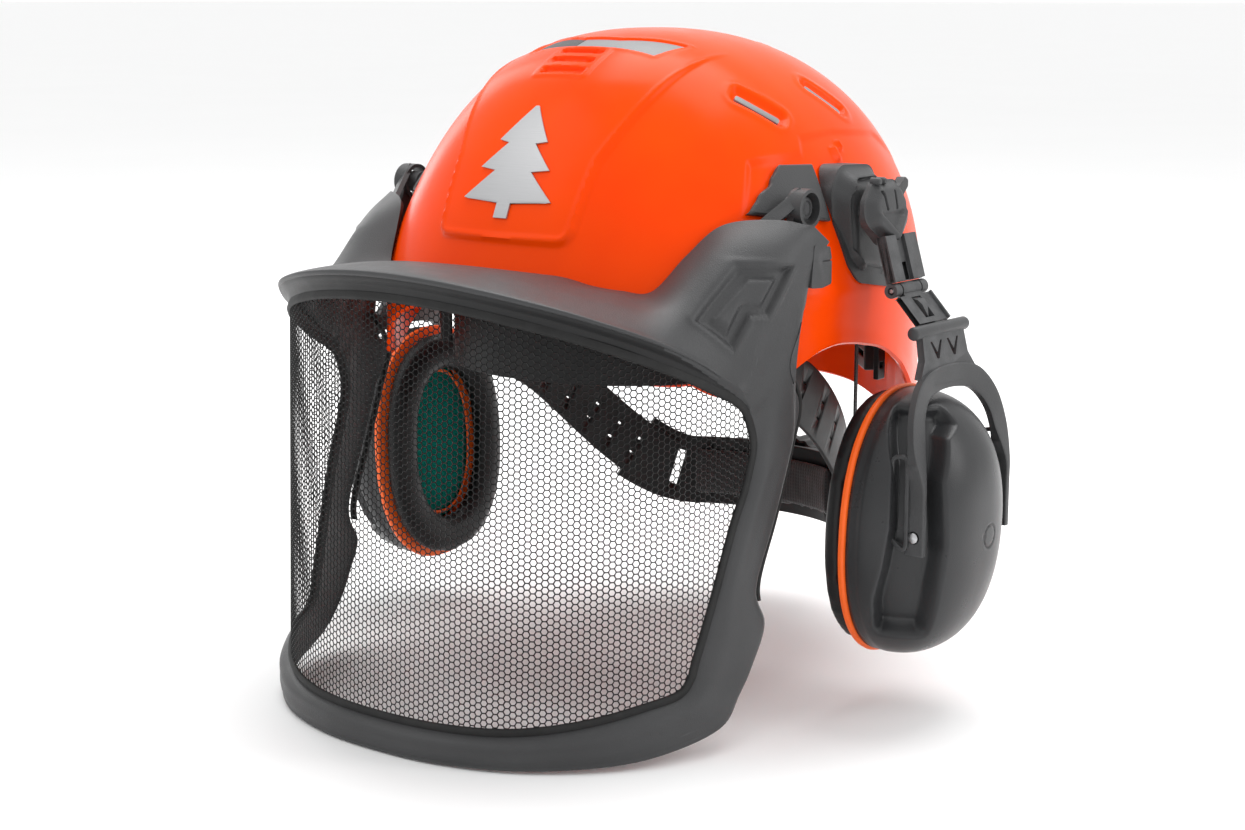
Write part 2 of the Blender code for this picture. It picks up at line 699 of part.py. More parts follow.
def make_arm(name, side, turn_axis, swing_axis):
    across = Vector((0, 1, 0))
    y = HUB[1]
    shield = rounded([(y - 0.0165, 0.1035), (y - 0.0095, 0.1125), (y + 0.0095, 0.1125),
                      (y + 0.0165, 0.1035), (y + 0.0145, 0.0910), (y, 0.0860),
                      (y - 0.0145, 0.0910)], 0.0030)
    cover = prism(shield, HUB[0], 0.1262, bevel=0.0020)
    add_part(f"arm_cover_{name}", on_side(cover, side), "fitting_grey", turn_axis)

    top = Vector((0.1290, y, 0.0848))
    knee = Vector(KNEE)
    along = (knee - top).normalized()
    out = Vector((-along.z, 0.0, along.x))
    length = (knee - top).length
    floor = slab(top, along, across, out, (length - 0.0030, ARM_WIDTH, 0.0022))
    upper = add_part(f"arm_upper_{name}", on_side(floor, side), "fitting_grey", turn_axis)
    for k in (-1, 1):
        edge = top + across * k * (ARM_WIDTH / 2 - 0.0015) + out * 0.0008
        rail = slab(edge, along, across, out, (length - 0.0020, 0.0030, 0.0052))
        combine(upper, f"arm_upper_rail_{name}_{k + 1}", on_side(rail, side), turn_axis, "UNION")
        knuckle = cylinder(0.0030, knee.y + k * (ARM_WIDTH / 2 - 0.0046),
                           knee.y + k * ARM_WIDTH / 2, (knee.x, knee.z), "Y")
        combine(upper, f"arm_upper_knuckle_{name}_{k + 1}", on_side(knuckle, side), turn_axis,
                "UNION")
    hole = cylinder(0.0016, knee.y - 0.02, knee.y + 0.02, (knee.x, knee.z), "Y", 12)
    combine(upper, f"arm_upper_bore_{name}", on_side(hole, side), turn_axis)

    pin = cylinder(0.0012, knee.y - 0.0118, knee.y + 0.0118, (knee.x, knee.z), "Y", 12)
    add_part(f"arm_hinge_pin_{name}", on_side(pin, side), "steel", turn_axis)

    along, out = knee_direction()
    width = ARM_WIDTH - 0.0110
    start = knee + along * 0.0012
    lower = add_part(f"arm_lower_{name}",
                     on_side(slab(start, along, across, out, (0.0140, width, 0.0024)), side),
                     "fitting_grey", swing_axis)
    barrel = cylinder(0.0030, knee.y - width / 2, knee.y + width / 2, (knee.x, knee.z), "Y")
    combine(lower, f"arm_lower_barrel_{name}", on_side(barrel, side), swing_axis, "UNION")
    combine(lower, f"arm_lower_bore_{name}", on_side(
        cylinder(0.0016, knee.y - 0.02, knee.y + 0.02, (knee.x, knee.z), "Y", 12), side),
        swing_axis)
    window = slab(knee + along * 0.0058, along, across, out, (0.0066, 0.0076, 0.0080))
    combine(lower, f"arm_lower_window_{name}", on_side(window, side), swing_axis)
    wedge = slab(knee + along * 0.0064, along, across, out, (0.0054, 0.0064, 0.0022))
    add_part(f"arm_spring_{name}", on_side(wedge, side), "steel", swing_axis)


def make_yoke(name, side, axis):
    """A tee bar and a stem above an arch with a leg on each side of the cup."""
    x, y, z = CUP_PIVOT
    path = [(x, LEG_SPREAD, z - 0.0075), (x, LEG_SPREAD, z), (x, LEG_SPREAD, z + 0.012),
            (x, LEG_SPREAD, z + 0.024), (x - 0.0005, LEG_SPREAD - 0.0010, z + 0.034),
            (x - 0.0030, LEG_SPREAD * 0.86, z + 0.046), (x - 0.0062, LEG_SPREAD * 0.56, z + 0.060),
            (TEE[0] + 0.0015, LEG_SPREAD * 0.22, TEE[2] - 0.0072)]
    path = [Vector(p) for p in path]
    path = path + [Vector((p.x, -p.y, p.z)) for p in path[::-1]]
    loops = []
    for i, here in enumerate(path):
        along = path[min(i + 1, len(path) - 1)] - path[max(i - 1, 0)]
        thick = Vector((0, -along.z, along.y)).normalized() * LEG_THICK / 2
        broad = along.cross(thick).normalized() * LEG_BROAD / 2
        here = here + Vector((0, y, 0))
        loops.append([here - broad - thick, here + broad - thick,
                      here + broad + thick, here - broad + thick])
    yoke = add_part(f"yoke_{name}", on_side(loft(loops), side), "fitting_grey", axis)
    bar = cylinder(0.0034, y - 0.0250, y + 0.0250, (TEE[0], TEE[2]), "Y", 16)
    combine(yoke, f"yoke_bar_{name}", on_side(bar, side), axis, "UNION")
    neck = prism([(y - 0.0130, TEE[2]), (y + 0.0130, TEE[2]), (y + 0.0180, TEE[2] - 0.0130),
                  (y + 0.0060, TEE[2] - 0.0100), (y - 0.0060, TEE[2] - 0.0100),
                  (y - 0.0180, TEE[2] - 0.0130)], TEE[0] - 0.0012, TEE[0] + 0.0022)
    combine(yoke, f"yoke_neck_{name}", on_side(neck, side), axis, "UNION")
    along, out = knee_direction()
    foot = Vector(TEE) - out * 0.0031 + along * 0.001
    stem = slab(foot, -along, Vector((0, 1, 0)), out, (0.0160, 0.0100, 0.0018))
    combine(yoke, f"yoke_stem_{name}", on_side(stem, side), axis, "UNION")
    hole = cylinder(PIN_RADIUS + GAP, y - 0.06, y + 0.06, (x, z), "Y", 16)
    combine(yoke, f"yoke_bore_{name}", on_side(hole, side), axis)


# ---- ear muffs -----------------------------------------------------------------------------
def muff_point(depth, back, up):
    """Local to world: depth away from the head, back along the head, and up."""
    lean = radians(MUFF_TILT)
    x, y, z = MUFF_CENTRE
    return Vector((x + depth * cos(lean) + up * sin(lean), y + back,
                   z - depth * sin(lean) + up * cos(lean)))


def muff_loop(depth, length=1.0, height=None, steps=32):
    height = length if height is None else height
    out = []
    for k in range(steps):
        turn = 2 * pi * k / steps
        out.append(muff_point(depth,
                              CUP_HALF_LENGTH * length * float(spow(cos(turn), 2 / CUP_PLAN)),
                              CUP_HALF_HEIGHT * height * float(spow(sin(turn), 2 / CUP_PLAN))))
    return out


def groove(depth, back, up):
    """How far the front leg's channel is sunk at a point of the cup."""
    turn = np.degrees(np.arctan2(depth / CUP_DEPTH, -back / CUP_HALF_LENGTH))
    left = np.interp(up, (-0.026, -0.011, 0.006, 0.030, 0.046), (20, 25, 28, 27, 20))
    right = np.interp(up, (-0.018, 0.0, 0.025, 0.041, 0.0455), (53, 55, 52, 60, 74))
    inside = smoothstep(left - 3, left + 3, turn) * (1 - smoothstep(right - 4, right + 5, turn))
    inside = inside * smoothstep(-0.041, -0.034, up)
    return GROOVE_DEPTH * float(inside)


def cup_grid():
    columns = 44
    grid = []
    for share in (0.0, 0.03, 0.24, 0.40, 0.54, 0.66, 0.76, 0.85, 0.92, 0.975):
        k = (1 - share ** CUP_PROFILE) ** (1 / CUP_PROFILE)
        row = []
        for j in range(columns):
            turn = 2 * pi * j / columns
            depth = CUP_DEPTH * share
            back = CUP_HALF_LENGTH * k * float(spow(cos(turn), 2 / CUP_PLAN))
            up = CUP_HALF_HEIGHT * k * float(spow(sin(turn), 2 / CUP_PLAN))
            sunk = groove(depth, back, up)
            inward = Vector((depth / CUP_DEPTH ** 2, back / CUP_HALF_LENGTH ** 2, 0)).normalized()
            row.append(muff_point(depth - inward.x * sunk, back - inward.y * sunk, up))
        grid.append(row)
    return grid


def make_muff(name, side, axis):
    bm = surface_bm(cup_grid(), closed=True, pole=muff_point(CUP_DEPTH, 0, 0))
    cup = add_part(f"cup_{name}", on_side(bm, side), "cup_grey", axis)
    solidify(cup, CUP_WALL, even=False)

    inner = -PLATE_THICK - GAP
    plate = ring([muff_loop(-GAP, 1.0), muff_loop(-GAP, 0.60, 0.70),
                  muff_loop(inner, 0.60, 0.70), muff_loop(inner, 1.0),
                  muff_loop(inner / 2, 1.02)])
    add_part(f"backplate_{name}", on_side(plate, side), "ring_orange", axis)

    top = inner - GAP
    face = -CUSHION_DEPTH
    cushion = ring([muff_loop(top, 0.94, 0.95), muff_loop(top, 0.62, 0.70),
                    muff_loop(top * 0.7 + face * 0.3, 0.53, 0.63),
                    muff_loop(top * 0.3 + face * 0.7, 0.52, 0.62),
                    muff_loop(face, 0.60, 0.68), muff_loop(face, 0.86, 0.89),
                    muff_loop(face * 0.9 + top * 0.1, 0.94, 0.95),
                    muff_loop(top * 0.4 + face * 0.6, 0.985, 0.985)])
    add_part(f"cushion_{name}", on_side(cushion, side), "cushion_black", axis, sharp=60)

    foam = loft([muff_loop(-0.0025, 0.575, 0.675, 24), muff_loop(0.0050, 0.575, 0.675, 24)])
    add_part(f"foam_{name}", on_side(foam, side), "foam_teal", axis)

    x, y, z = CUP_PIVOT
    outer = LEG_SPREAD + LEG_THICK / 2 + 0.0012
    for label, low, high in (("front", y - outer, y - LEG_SPREAD + 0.0050),
                             ("rear", y + LEG_SPREAD - 0.0022, y + outer)):
        pin = cylinder(PIN_RADIUS, low, high, (x, z), "Y", 16)
        add_part(f"pivot_pin_{label}_{name}", on_side(pin, side), "steel", axis)


# ---- harness -------------------------------------------------------------------------------
def band_point(angle, off=0.0):
    """Centre line of the headband; it drops from the brow to the nape."""
    c, s = cos(angle), sin(angle)
    length = BAND_FRONT if s < 0 else BAND_REAR
    fold = float(np.degrees(np.arcsin(np.clip(s, -1, 1))))
    z = BROW_Z + (NAPE_Z - BROW_Z) * float(smoothstep(-30, 62, fold))
    return Vector(((BAND_HALF_WIDTH + off) * float(spow(c, 2 / BAND_PLAN)),
                   (length + off) * float(spow(s, 2 / BAND_PLAN)), z))


def band_strip(start, end, steps, off, width, thickness):
    """A strip that runs along the headband between two plan angles."""
    angles = np.radians(np.linspace(start, end, steps))
    centres, outwards, ups = [], [], []
    for a in angles:
        along = (band_point(a + 0.03, off) - band_point(a - 0.03, off)).normalized()
        flat = Vector((along.x, along.y, 0)).normalized()
        outward = Vector((flat.y, -flat.x, 0))
        centres.append(band_point(a, off))
        outwards.append(outward)
        ups.append(outward.cross(along) * -1)
    return ribbon(centres, outwards, ups, width, thickness)


def strap_strip(foot_front, foot_rear, top, width):
    """A crown strap: an arch between two feet over the head."""
    start, end = Vector(foot_front), Vector(foot_rear)
    flat = (end - start)
    rise_dir = Vector((0, 0, 1))
    run = Vector((flat.x, flat.y, 0)).normalized()
    up = run.cross(rise_dir)
    middle = (start + end) / 2
    half = Vector((flat.x, flat.y, 0)).length / 2
    centres, outwards, ups = [], [], []
    steps = 21
    for k in range(steps):
        turn = pi * (1 - k / (steps - 1))
        along = float(spow(cos(turn), 2 / 2.3))
        height = float(spow(sin(turn), 2 / 2.3))
        foot = start.z + (end.z - start.z) * (along + 1) / 2
        centres.append(Vector((middle.x, middle.y, 0)) + run * half * along
                       + rise_dir * (foot + (top - foot) * height))
    for k in range(steps):
        tangent = (centres[min(k + 1, steps - 1)] - centres[max(k - 1, 0)]).normalized()
        outwards.append(up.cross(tangent).normalized())
        ups.append(up)
    return ribbon(centres, outwards, ups, width, 0.0012)


def make_harness():
    add_part("headband", band_strip(-232, 52, 57, 0.0, BAND_WIDTH, BAND_THICK), "black_plastic")
    add_part("brow_pad", band_strip(-150, -30, 25, -0.0036, 0.0230, 0.0040), "webbing_black")
    add_part("nape_cradle", band_strip(40, 140, 25, 0.0026, 0.0340, 0.0020), "black_plastic")
    add_part("nape_pad", band_strip(62, 118, 13, -0.0012, 0.0260, 0.0040), "webbing_black")
    feet = {}
    for name, side in SIDES:
        feet["front" + name] = (side * 0.0655, -0.0640, 0.0580)
        feet["rear" + name] = (side * 0.0700, 0.0640, 0.0420)
    add_part("crown_strap_a", strap_strip(feet["frontL"], feet["rearR"], 0.1475, 0.020),
             "webbing_black")
    add_part("crown_strap_b", strap_strip(feet["frontR"], feet["rearL"], 0.1455, 0.020),
             "webbing_black")
    pad = [[(r * cos(2 * pi * k / 24), r * sin(2 * pi * k / 24), z) for k in range(24)]
           for r, z in ((0.021, 0.1370), (0.024, 0.1382), (0.024, 0.1402), (0.020, 0.1412))]
    add_part("crown_pad", loft(pad), "webbing_black")
    for name, side in SIDES:
        for label in ("front", "rear"):
            x, y, z = feet[label + name]
            out = Vector((x, y, 0)).normalized()
            across = Vector((-out.y, out.x, 0))
            low = Vector((x, y, z - 0.0010)) + out * 0.0020
            bm = slab(low, Vector((0, 0, -1)), across, out, (0.0200, 0.0200, 0.0050))
            add_part(f"strap_anchor_{label}_{name}", bm, "black_plastic")


def gear_outline():
    """The pinion's teeth, with straight flanks."""
    pitch = PINION_TEETH * GEAR_MODULE / 2
    tip, root = pitch + 0.8 * GEAR_MODULE, pitch - 1.25 * GEAR_MODULE
    half = pi * GEAR_MODULE / 4 - BACKLASH
    slope = tan(radians(20))
    out = []
    for k in range(PINION_TEETH):
        middle = pi / 2 + 2 * pi * k / PINION_TEETH
        for radius, width in ((root, half + slope * (pitch - root)),
                              (tip, half - slope * (tip - pitch))):
            out.append((middle - width / radius, radius))
        for radius, width in ((tip, half - slope * (tip - pitch)),
                              (root, half + slope * (pitch - root))):
            out.append((middle + width / radius, radius))
    return [(RATCHET[0] + r * cos(a), RATCHET[2] + r * sin(a)) for a, r in out]


def rack_outline(side):
    """A rack above the pinion for side 1, below it for side -1; it reaches out that way."""
    pitch = PINION_TEETH * GEAR_MODULE / 2
    step = pi * GEAR_MODULE
    tip, root = pitch - 0.55 * GEAR_MODULE, pitch + 1.2 * GEAR_MODULE
    half = step / 4 - BACKLASH
    slope = tan(radians(20))
    line = [(-0.0185, root)]
    for k in range(-5, 6):
        middle = (k + 0.5) * step
        line.append((middle - half - slope * (root - pitch), root))
        line.append((middle - half + slope * (pitch - tip), tip))
        line.append((middle + half - slope * (pitch - tip), tip))
        line.append((middle + half + slope * (root - pitch), root))
    line = line + [(0.0460, root), (0.0460, root + 0.0040), (-0.0185, root + 0.0040)]
    return [(RATCHET[0] + side * x, RATCHET[2] + side * z) for x, z in line]


def make_ratchet(knob_axis, rack_axes):
    x, y, z = RATCHET
    low, high = y - GEAR_WIDTH / 2, y + GEAR_WIDTH / 2
    add_part("ratchet_pinion", prism(gear_outline(), low, high, "Y"), "black_plastic",
             knob_axis, sharp=20)
    for name, side in SIDES:
        add_part(f"band_rack_{name}", prism(rack_outline(side), low, high, "Y"),
                 "black_plastic", rack_axes[name], sharp=20)
    half, wall, reach = 0.0138, 0.0018, 0.0330
    profile = [(y - 0.0028, z - half), (y + 0.0072, z - half), (y + 0.0072, z + half),
               (y - 0.0028, z + half), (y - 0.0028, z + half - wall),
               (y + 0.0050, z + half - wall), (y + 0.0050, z - half + wall),
               (y - 0.0028, z - half + wall)]
    housing = add_part("ratchet_housing", prism(profile, x - reach, x + reach, "X"),
                       "black_plastic")
    combine(housing, "ratchet_housing_bore", cylinder(0.0034, y, y + 0.02, (x, z), "Y"))
    loops = []
    for radius, depth in ((0.0030, high + GAP), (0.0030, y + 0.0080), (KNOB_RADIUS, y + 0.0080),
                          (KNOB_RADIUS, y + 0.0200), (KNOB_RADIUS - 0.0022, y + 0.0225)):
        loop = []
        for k in range(48):
            turn = 2 * pi * k / 48
            grip = 1 - 0.05 * (0.5 + 0.5 * cos(12 * turn)) * (radius > 0.01)
            loop.append((x + radius * grip * cos(turn), depth, z + radius * grip * sin(turn)))
        loops.append(loop)
    add_part("ratchet_knob", loft(loops), "black_plastic", knob_axis)


# ---- assembly ------------------------------------------------------------------------------
def main():
    clear_scene()
    make_shell()
    make_emblem()
    make_harness()
    knob_axis = Axis("knob_axis", RATCHET)
    make_ratchet(knob_axis, {name: Axis(f"rack_axis_{name}", RATCHET) for name, _ in SIDES})
    make_visor(Axis("visor_axis", (0.0, *VISOR_PIVOT)))
    for name, side in SIDES:
        make_side_fittings(name, side)
        turn_axis = Axis(f"turn_axis_{name}", (side * HUB[0], HUB[1], HUB[2]))
        swing_axis = Axis(f"swing_axis_{name}", (side * KNEE[0], KNEE[1], KNEE[2]), turn_axis)
        slide_axis = Axis(f"slide_axis_{name}", (side * TEE[0], TEE[1], TEE[2]), swing_axis)
        tilt_axis = Axis(f"tilt_axis_{name}", (side * CUP_PIVOT[0], CUP_PIVOT[1], CUP_PIVOT[2]),
                         slide_axis)
        make_arm(name, side, turn_axis, swing_axis)
        make_yoke(name, side, slide_axis)
        make_muff(name, side, tilt_axis)


main()
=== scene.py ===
"""Looks of the forestry helmet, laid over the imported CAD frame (metres, +Z up, front is -Y)."""
from math import atan2, cos, pi, radians, sin, tan

import bmesh
import bpy
import numpy as np
from mathutils import Matrix, Vector


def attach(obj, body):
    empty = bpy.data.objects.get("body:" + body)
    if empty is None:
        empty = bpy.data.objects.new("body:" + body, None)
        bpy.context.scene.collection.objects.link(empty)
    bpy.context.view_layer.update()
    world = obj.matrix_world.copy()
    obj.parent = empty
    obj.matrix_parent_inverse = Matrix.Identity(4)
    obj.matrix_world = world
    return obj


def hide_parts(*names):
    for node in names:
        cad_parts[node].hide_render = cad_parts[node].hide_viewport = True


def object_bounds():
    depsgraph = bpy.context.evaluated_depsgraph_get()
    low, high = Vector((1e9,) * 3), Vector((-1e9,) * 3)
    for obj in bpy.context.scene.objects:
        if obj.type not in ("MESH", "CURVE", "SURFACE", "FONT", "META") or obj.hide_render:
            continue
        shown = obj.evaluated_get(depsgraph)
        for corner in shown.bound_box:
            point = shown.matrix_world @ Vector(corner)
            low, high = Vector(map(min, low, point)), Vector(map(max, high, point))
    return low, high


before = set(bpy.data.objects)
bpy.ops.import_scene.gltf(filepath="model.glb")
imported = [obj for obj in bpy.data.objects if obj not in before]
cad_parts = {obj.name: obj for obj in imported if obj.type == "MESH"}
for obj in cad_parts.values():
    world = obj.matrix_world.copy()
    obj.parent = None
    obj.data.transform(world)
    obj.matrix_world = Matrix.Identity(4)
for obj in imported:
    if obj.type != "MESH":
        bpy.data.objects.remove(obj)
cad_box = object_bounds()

# ---- the CAD model's driving dimensions ----------------------------------------------------
GAP = 0.0004
SHELL_HALF_WIDTH = 0.1027
SHELL_FRONT = 0.0941
SHELL_REAR = 0.1304
SHELL_CROWN_Z = 0.1737
SHELL_SPRING_Z = 0.0681
SHELL_FRONT_PROFILE = 2.4755
SHELL_REAR_PROFILE = 2.1721
SHELL_SIDE_PROFILE = 2.1588
SHELL_FRONT_PLAN = 2.1881
SHELL_REAR_PLAN = 2.1708
SHELL_FLARE = 0.2131
SHELL_WALL = 0.0024
RIM = ((-90, 0.0600), (-70, 0.0580), (-57, 0.0490), (-47, 0.0335), (-38, 0.0290),
       (-30, 0.0320), (-23, 0.0400), (-16, 0.0455), (-8, 0.0465), (3, 0.0420),
       (13, 0.0310), (21, 0.0180), (30, 0.0040), (40, -0.0055), (52, -0.0085),
       (65, -0.0040), (77, 0.0020), (90, 0.0045))
SIDE_VENTS = ((-20.0, 0.1425, 0.0115, 0.0030, -42.0), (12.5, 0.1445, 0.0110, 0.0026, -52.0))
CROWN_VENT_FRONT = ((-0.033, -0.044), (0.0, -0.0465), (0.033, -0.044), (0.038, -0.026),
                    (0.010, -0.0367), (-0.010, -0.0367), (-0.038, -0.026))
CROWN_VENT_REAR = ((-0.026, 0.046), (0.026, 0.046), (0.030, 0.060), (-0.030, 0.060))
EMBLEM_LOW = 0.0970
EMBLEM_HIGH = 0.1410
EMBLEM = ((0.0, 0.0035), (0.14, 0.0035), (0.16, 0.0230), (0.42, 0.0095), (0.44, 0.0180),
          (0.67, 0.0070), (0.69, 0.0125), (1.0, 0.0008))
SHEET_HALF_WIDTH = 0.115
SHEET_SIDE_Y = -0.055
SHEET_REACH = 0.118
SHEET_PLAN = 2.3
SHEET_LEAN = 0.045
SHEET_TOP_Z = 0.077
FRAME_WALL = 0.0026
BRIM_GAP = 0.0009
VISOR_PIVOT = (-0.0430, 0.1035)
BOSS_RADIUS = 0.0046
BRIM = (((0.000, 0.0735), (0.0000, -0.1118, 0.0778)), ((0.023, 0.0726), (0.0185, -0.1108, 0.0776)),
        ((0.045, 0.0700), (0.0360, -0.1080, 0.0768)), ((0.066, 0.0659), (0.0490, -0.1050, 0.0740)),
        ((0.085, 0.0609), (0.0600, -0.1005, 0.0725)), ((0.110, 0.0523), (0.0705, -0.0945, 0.0725)),
        ((0.128, 0.0448), (0.0785, -0.0830, 0.0860)), ((0.141, 0.0387), (0.0875, -0.0715, 0.0975)),
        ((0.150, 0.0345), (0.1030, -0.0605, 0.1000)), ((0.1560, 0.0300), (0.1165, -0.0490, 0.0975)),
        ((0.1590, 0.0252), (0.1183, -0.0400, 0.0905)))
RAIL = (((0.1610, 0.0200), (0.1965, 0.0800)), ((0.1620, 0.0160), (0.1925, 0.0650)),
        ((0.1622, 0.0110), (0.1795, 0.0440)), ((0.1600, 0.0030), (0.1895, 0.0269)),
        ((0.1574, -0.0050), (0.1835, 0.0080)), ((0.1515, -0.0185), (0.1740, -0.0170)),
        ((0.1432, -0.0440), (0.1635, -0.0440)), ((0.1390, -0.0565), (0.1690, -0.0600)),
        ((0.1345, -0.0700), (0.1626, -0.0750)), ((0.1325, -0.0764), (0.1553, -0.0865)),
        ((0.1269, -0.0824), (0.1440, -0.0975)), ((0.1101, -0.0862), (0.1185, -0.1035)),
        ((0.0867, -0.0910), (0.0945, -0.1060)), ((0.060, -0.0945), (0.0630, -0.1072)),
        ((0.030, -0.0955), (0.0310, -0.1077)), ((0.000, -0.0957), (0.0000, -0.1078)))
LIP_RISE = 0.0080
LIP_PROUD = 0.0034
MUFF_CENTRE = (0.1322, -0.0055, -0.0275)
MUFF_TILT = 2.5
CUP_HALF_LENGTH = 0.0405
CUP_HALF_HEIGHT = 0.0560
CUP_DEPTH = 0.0405
CUP_PLAN = 2.25
CUP_PROFILE = 2.6
CUP_WALL = 0.0024
GROOVE_DEPTH = 0.0092
PLATE_THICK = 0.0030
CUSHION_DEPTH = 0.0140
HUB = (0.1185, -0.0030, 0.0990)
KNEE = (0.1325, -0.0030, 0.0690)
TEE = (0.1470, -0.0010, 0.0535)
CUP_PIVOT = (0.1585, -0.0010, -0.0260)
LEG_SPREAD = 0.0345
LEG_THICK = 0.0030
LEG_BROAD = 0.0084
ARM_WIDTH = 0.0250
PIN_RADIUS = 0.0022
BAND_HALF_WIDTH = 0.0765
BAND_FRONT = 0.0940
BAND_REAR = 0.0975
BAND_PLAN = 2.3
BAND_THICK = 0.0020
BAND_WIDTH = 0.0270
BROW_Z = 0.0430
NAPE_Z = -0.0460
RATCHET = (0.0, 0.1075, -0.0460)
KNOB_RADIUS = 0.0170
BAND_SPAN = (-232, 52)          # degrees round the head, 90 at the nape
CRADLE_SPAN = (40, 140)
BROW_SPAN = (-150, -30)
NAPE_PAD_SPAN = (62, 118)
SIDES = (("L", 1), ("R", -1))
SIDE_NAMES = {"L": "left", "R": "right"}

# ---- visual detail (metres) ----------------------------------------------------------------
PANEL_LOW = 0.0885              # the raised front panel: lower edge, then height against half width
PANEL_SIDE = ((0.0600, 0.0340), (0.0885, 0.0350), (0.1210, 0.0373), (0.1453, 0.0458),
              (0.1599, 0.0494), (0.1700, 0.0510))
PANEL_RISE = 0.0016
LOUVRE_Y = (-0.0630, -0.0568, -0.0506)
LOUVRE_HALF = (0.0112, 0.0016)
LOUVRE_DEPTH = 0.0017
LOUVRE_FRAME_HALF = (0.0150, 0.0105)
CROWN_DETAIL_Z = 0.12           # vents and louvres lie above this height
FITTING_LINE = ((-0.0760, 0.0600), (-0.0660, 0.0900), (-0.0480, 0.1210), (-0.0200, 0.1235),
                (-0.0160, 0.1295), (0.0100, 0.1310), (0.0550, 0.1280), (0.0900, 0.1100))
FITTING_SUNK = 0.0009
VENT_POCKET = 0.0023
WING_POCKET = ((-0.1071, 0.0650), (-0.0841, 0.0841), (-0.0639, 0.0825), (-0.0783, 0.0646),
               (-0.0858, 0.0652), (-0.0946, 0.0532))
WING_SUNK = 0.0026
HEX_PITCH = 0.0027
HEX_RIB = 0.00052
THIN_PLATE = 0.0008             # crown vent plates and the front emblem
KNUCKLE_RADIUS = 0.0030         # the muff arm's hinge: knuckles, their bore and the pin
HINGE_BORE = 0.0016
HINGE_PIN = 0.0012
PIVOT_PLATE = ((-0.0590, 0.1008), (-0.0210, 0.0962), (-0.0195, 0.1185), (-0.0365, 0.1190))
SLIDE_BLOCK = ((-0.0500, 0.0900), (-0.0386, 0.0885), (-0.0372, 0.0835), (-0.0372, 0.0733),
               (-0.0440, 0.0722), (-0.0520, 0.0728))
SHIELD = ((-0.0150, 0.1050), (-0.0085, 0.1130), (0.0085, 0.1130), (0.0150, 0.1050),
          (0.0150, 0.0955), (0.0, 0.0842), (-0.0150, 0.0955))
LATCH = ((0.0040, 0.1085), (0.0090, 0.1112), (0.0122, 0.1138), (0.0146, 0.1124),
         (0.0146, 0.1096), (0.0120, 0.1070), (0.0095, 0.1040))
HOUSING = ((-0.0135, 0.1190), (0.0120, 0.1180), (0.0190, 0.1060), (0.0205, 0.0760),
           (0.0190, 0.0658), (-0.0100, 0.0705), (-0.0150, 0.0780), (-0.0190, 0.1080))
HOUSING_SLOT = ((-0.0145, 0.1050), (-0.0085, 0.1135), (0.0090, 0.1135), (0.0155, 0.1050),
                (0.0160, 0.0715), (-0.0030, 0.0750), (-0.0118, 0.0840))
ARM_TOP = (0.1262, 0.0905)      # the muff arm's upper end: x and z
YOKE_NECK = ((-0.0165, 0.0), (0.0165, 0.0), (0.0175, -0.0110), (0.0225, -0.0180),
             (0.0120, -0.0215), (-0.0120, -0.0215), (-0.0225, -0.0180), (-0.0175, -0.0110))
YOKE_SLOT = ((-0.0046, -0.0040), (-0.0032, -0.0040), (0.0, -0.0086), (0.0032, -0.0040),
             (0.0046, -0.0040), (0.0008, -0.0112), (-0.0008, -0.0112))
YOKE_SLOT_SHIFT = 0.0066
YOKE_NECK_LEAN = 0.20
CROWN_PAD_RADIUS = 0.0238
STRAP_FOOT_FRONT = (0.0655, -0.0640, 0.0580)
STRAP_FOOT_REAR = (0.0700, 0.0640, 0.0420)
STRAP_TOPS = (0.1475, 0.1455)
CAMERA_PLACE = (0.5935, -0.7829, 0.1874)
CAMERA_TARGET = (-0.01127, -0.00880, 0.0)
CAMERA_LENS = 63.6


# ---- number helpers ------------------------------------------------------------------------
def spow(value, power):
    return np.sign(value) * np.abs(value) ** power


def smoothstep(low, high, value):
    t = np.clip((np.asarray(value, float) - low) / (high - low), 0.0, 1.0)
    return t * t * (3.0 - 2.0 * t)


def smooth_curve(keys, at, closed=False):
    """Catmull-Rom through rows of keys, read at positions counted in keys."""
    keys = np.asarray(keys, float)
    count = len(keys)
    at = np.asarray(at, float)
    if not closed:
        at = np.clip(at, 0, count - 1 - 1e-9)
    i = np.floor(at).astype(int)
    t = (at - i).reshape(at.shape + (1,) * (keys.ndim - 1))
    if closed:
        index = [(i + k) % count for k in (-1, 0, 1, 2)]
    else:
        index = [np.clip(i + k, 0, count - 1) for k in (-1, 0, 1, 2)]
    p0, p1, p2, p3 = (keys[k] for k in index)
    return 0.5 * (2 * p1 + (p2 - p0) * t + (2 * p0 - 5 * p1 + 4 * p2 - p3) * t ** 2
                  + (3 * p1 - p0 - 3 * p2 + p3) * t ** 3)


def unit(vectors):
    return vectors / np.maximum(np.linalg.norm(vectors, axis=-1, keepdims=True), 1e-12)


def polygon_depth(x, y, corners):
    """Distance inside a polygon's edge; negative outside."""
    corners = np.asarray(corners, float)
    nearest = np.full(np.shape(x), 1e9)
    inside = np.zeros(np.shape(x), bool)
    for (ax, ay), (bx, by) in zip(corners, np.roll(corners, -1, axis=0)):
        dx, dy = bx - ax, by - ay
        t = np.clip(((x - ax) * dx + (y - ay) * dy) / (dx * dx + dy * dy), 0, 1)
        nearest = np.minimum(nearest, np.hypot(x - ax - t * dx, y - ay - t * dy))
        if dy:
            crosses = ((ay > y) != (by > y)) & (x < ax + (y - ay) * dx / dy)
            inside = inside ^ crosses
    return np.where(inside, nearest, -nearest)


def box_depth(a, b, half_a, half_b, radius):
    """Distance inside a rounded box centred on 0."""
    qa = np.abs(a) - half_a + radius
    qb = np.abs(b) - half_b + radius
    outside = np.hypot(np.maximum(qa, 0), np.maximum(qb, 0))
    return radius - outside - np.minimum(np.maximum(qa, qb), 0)


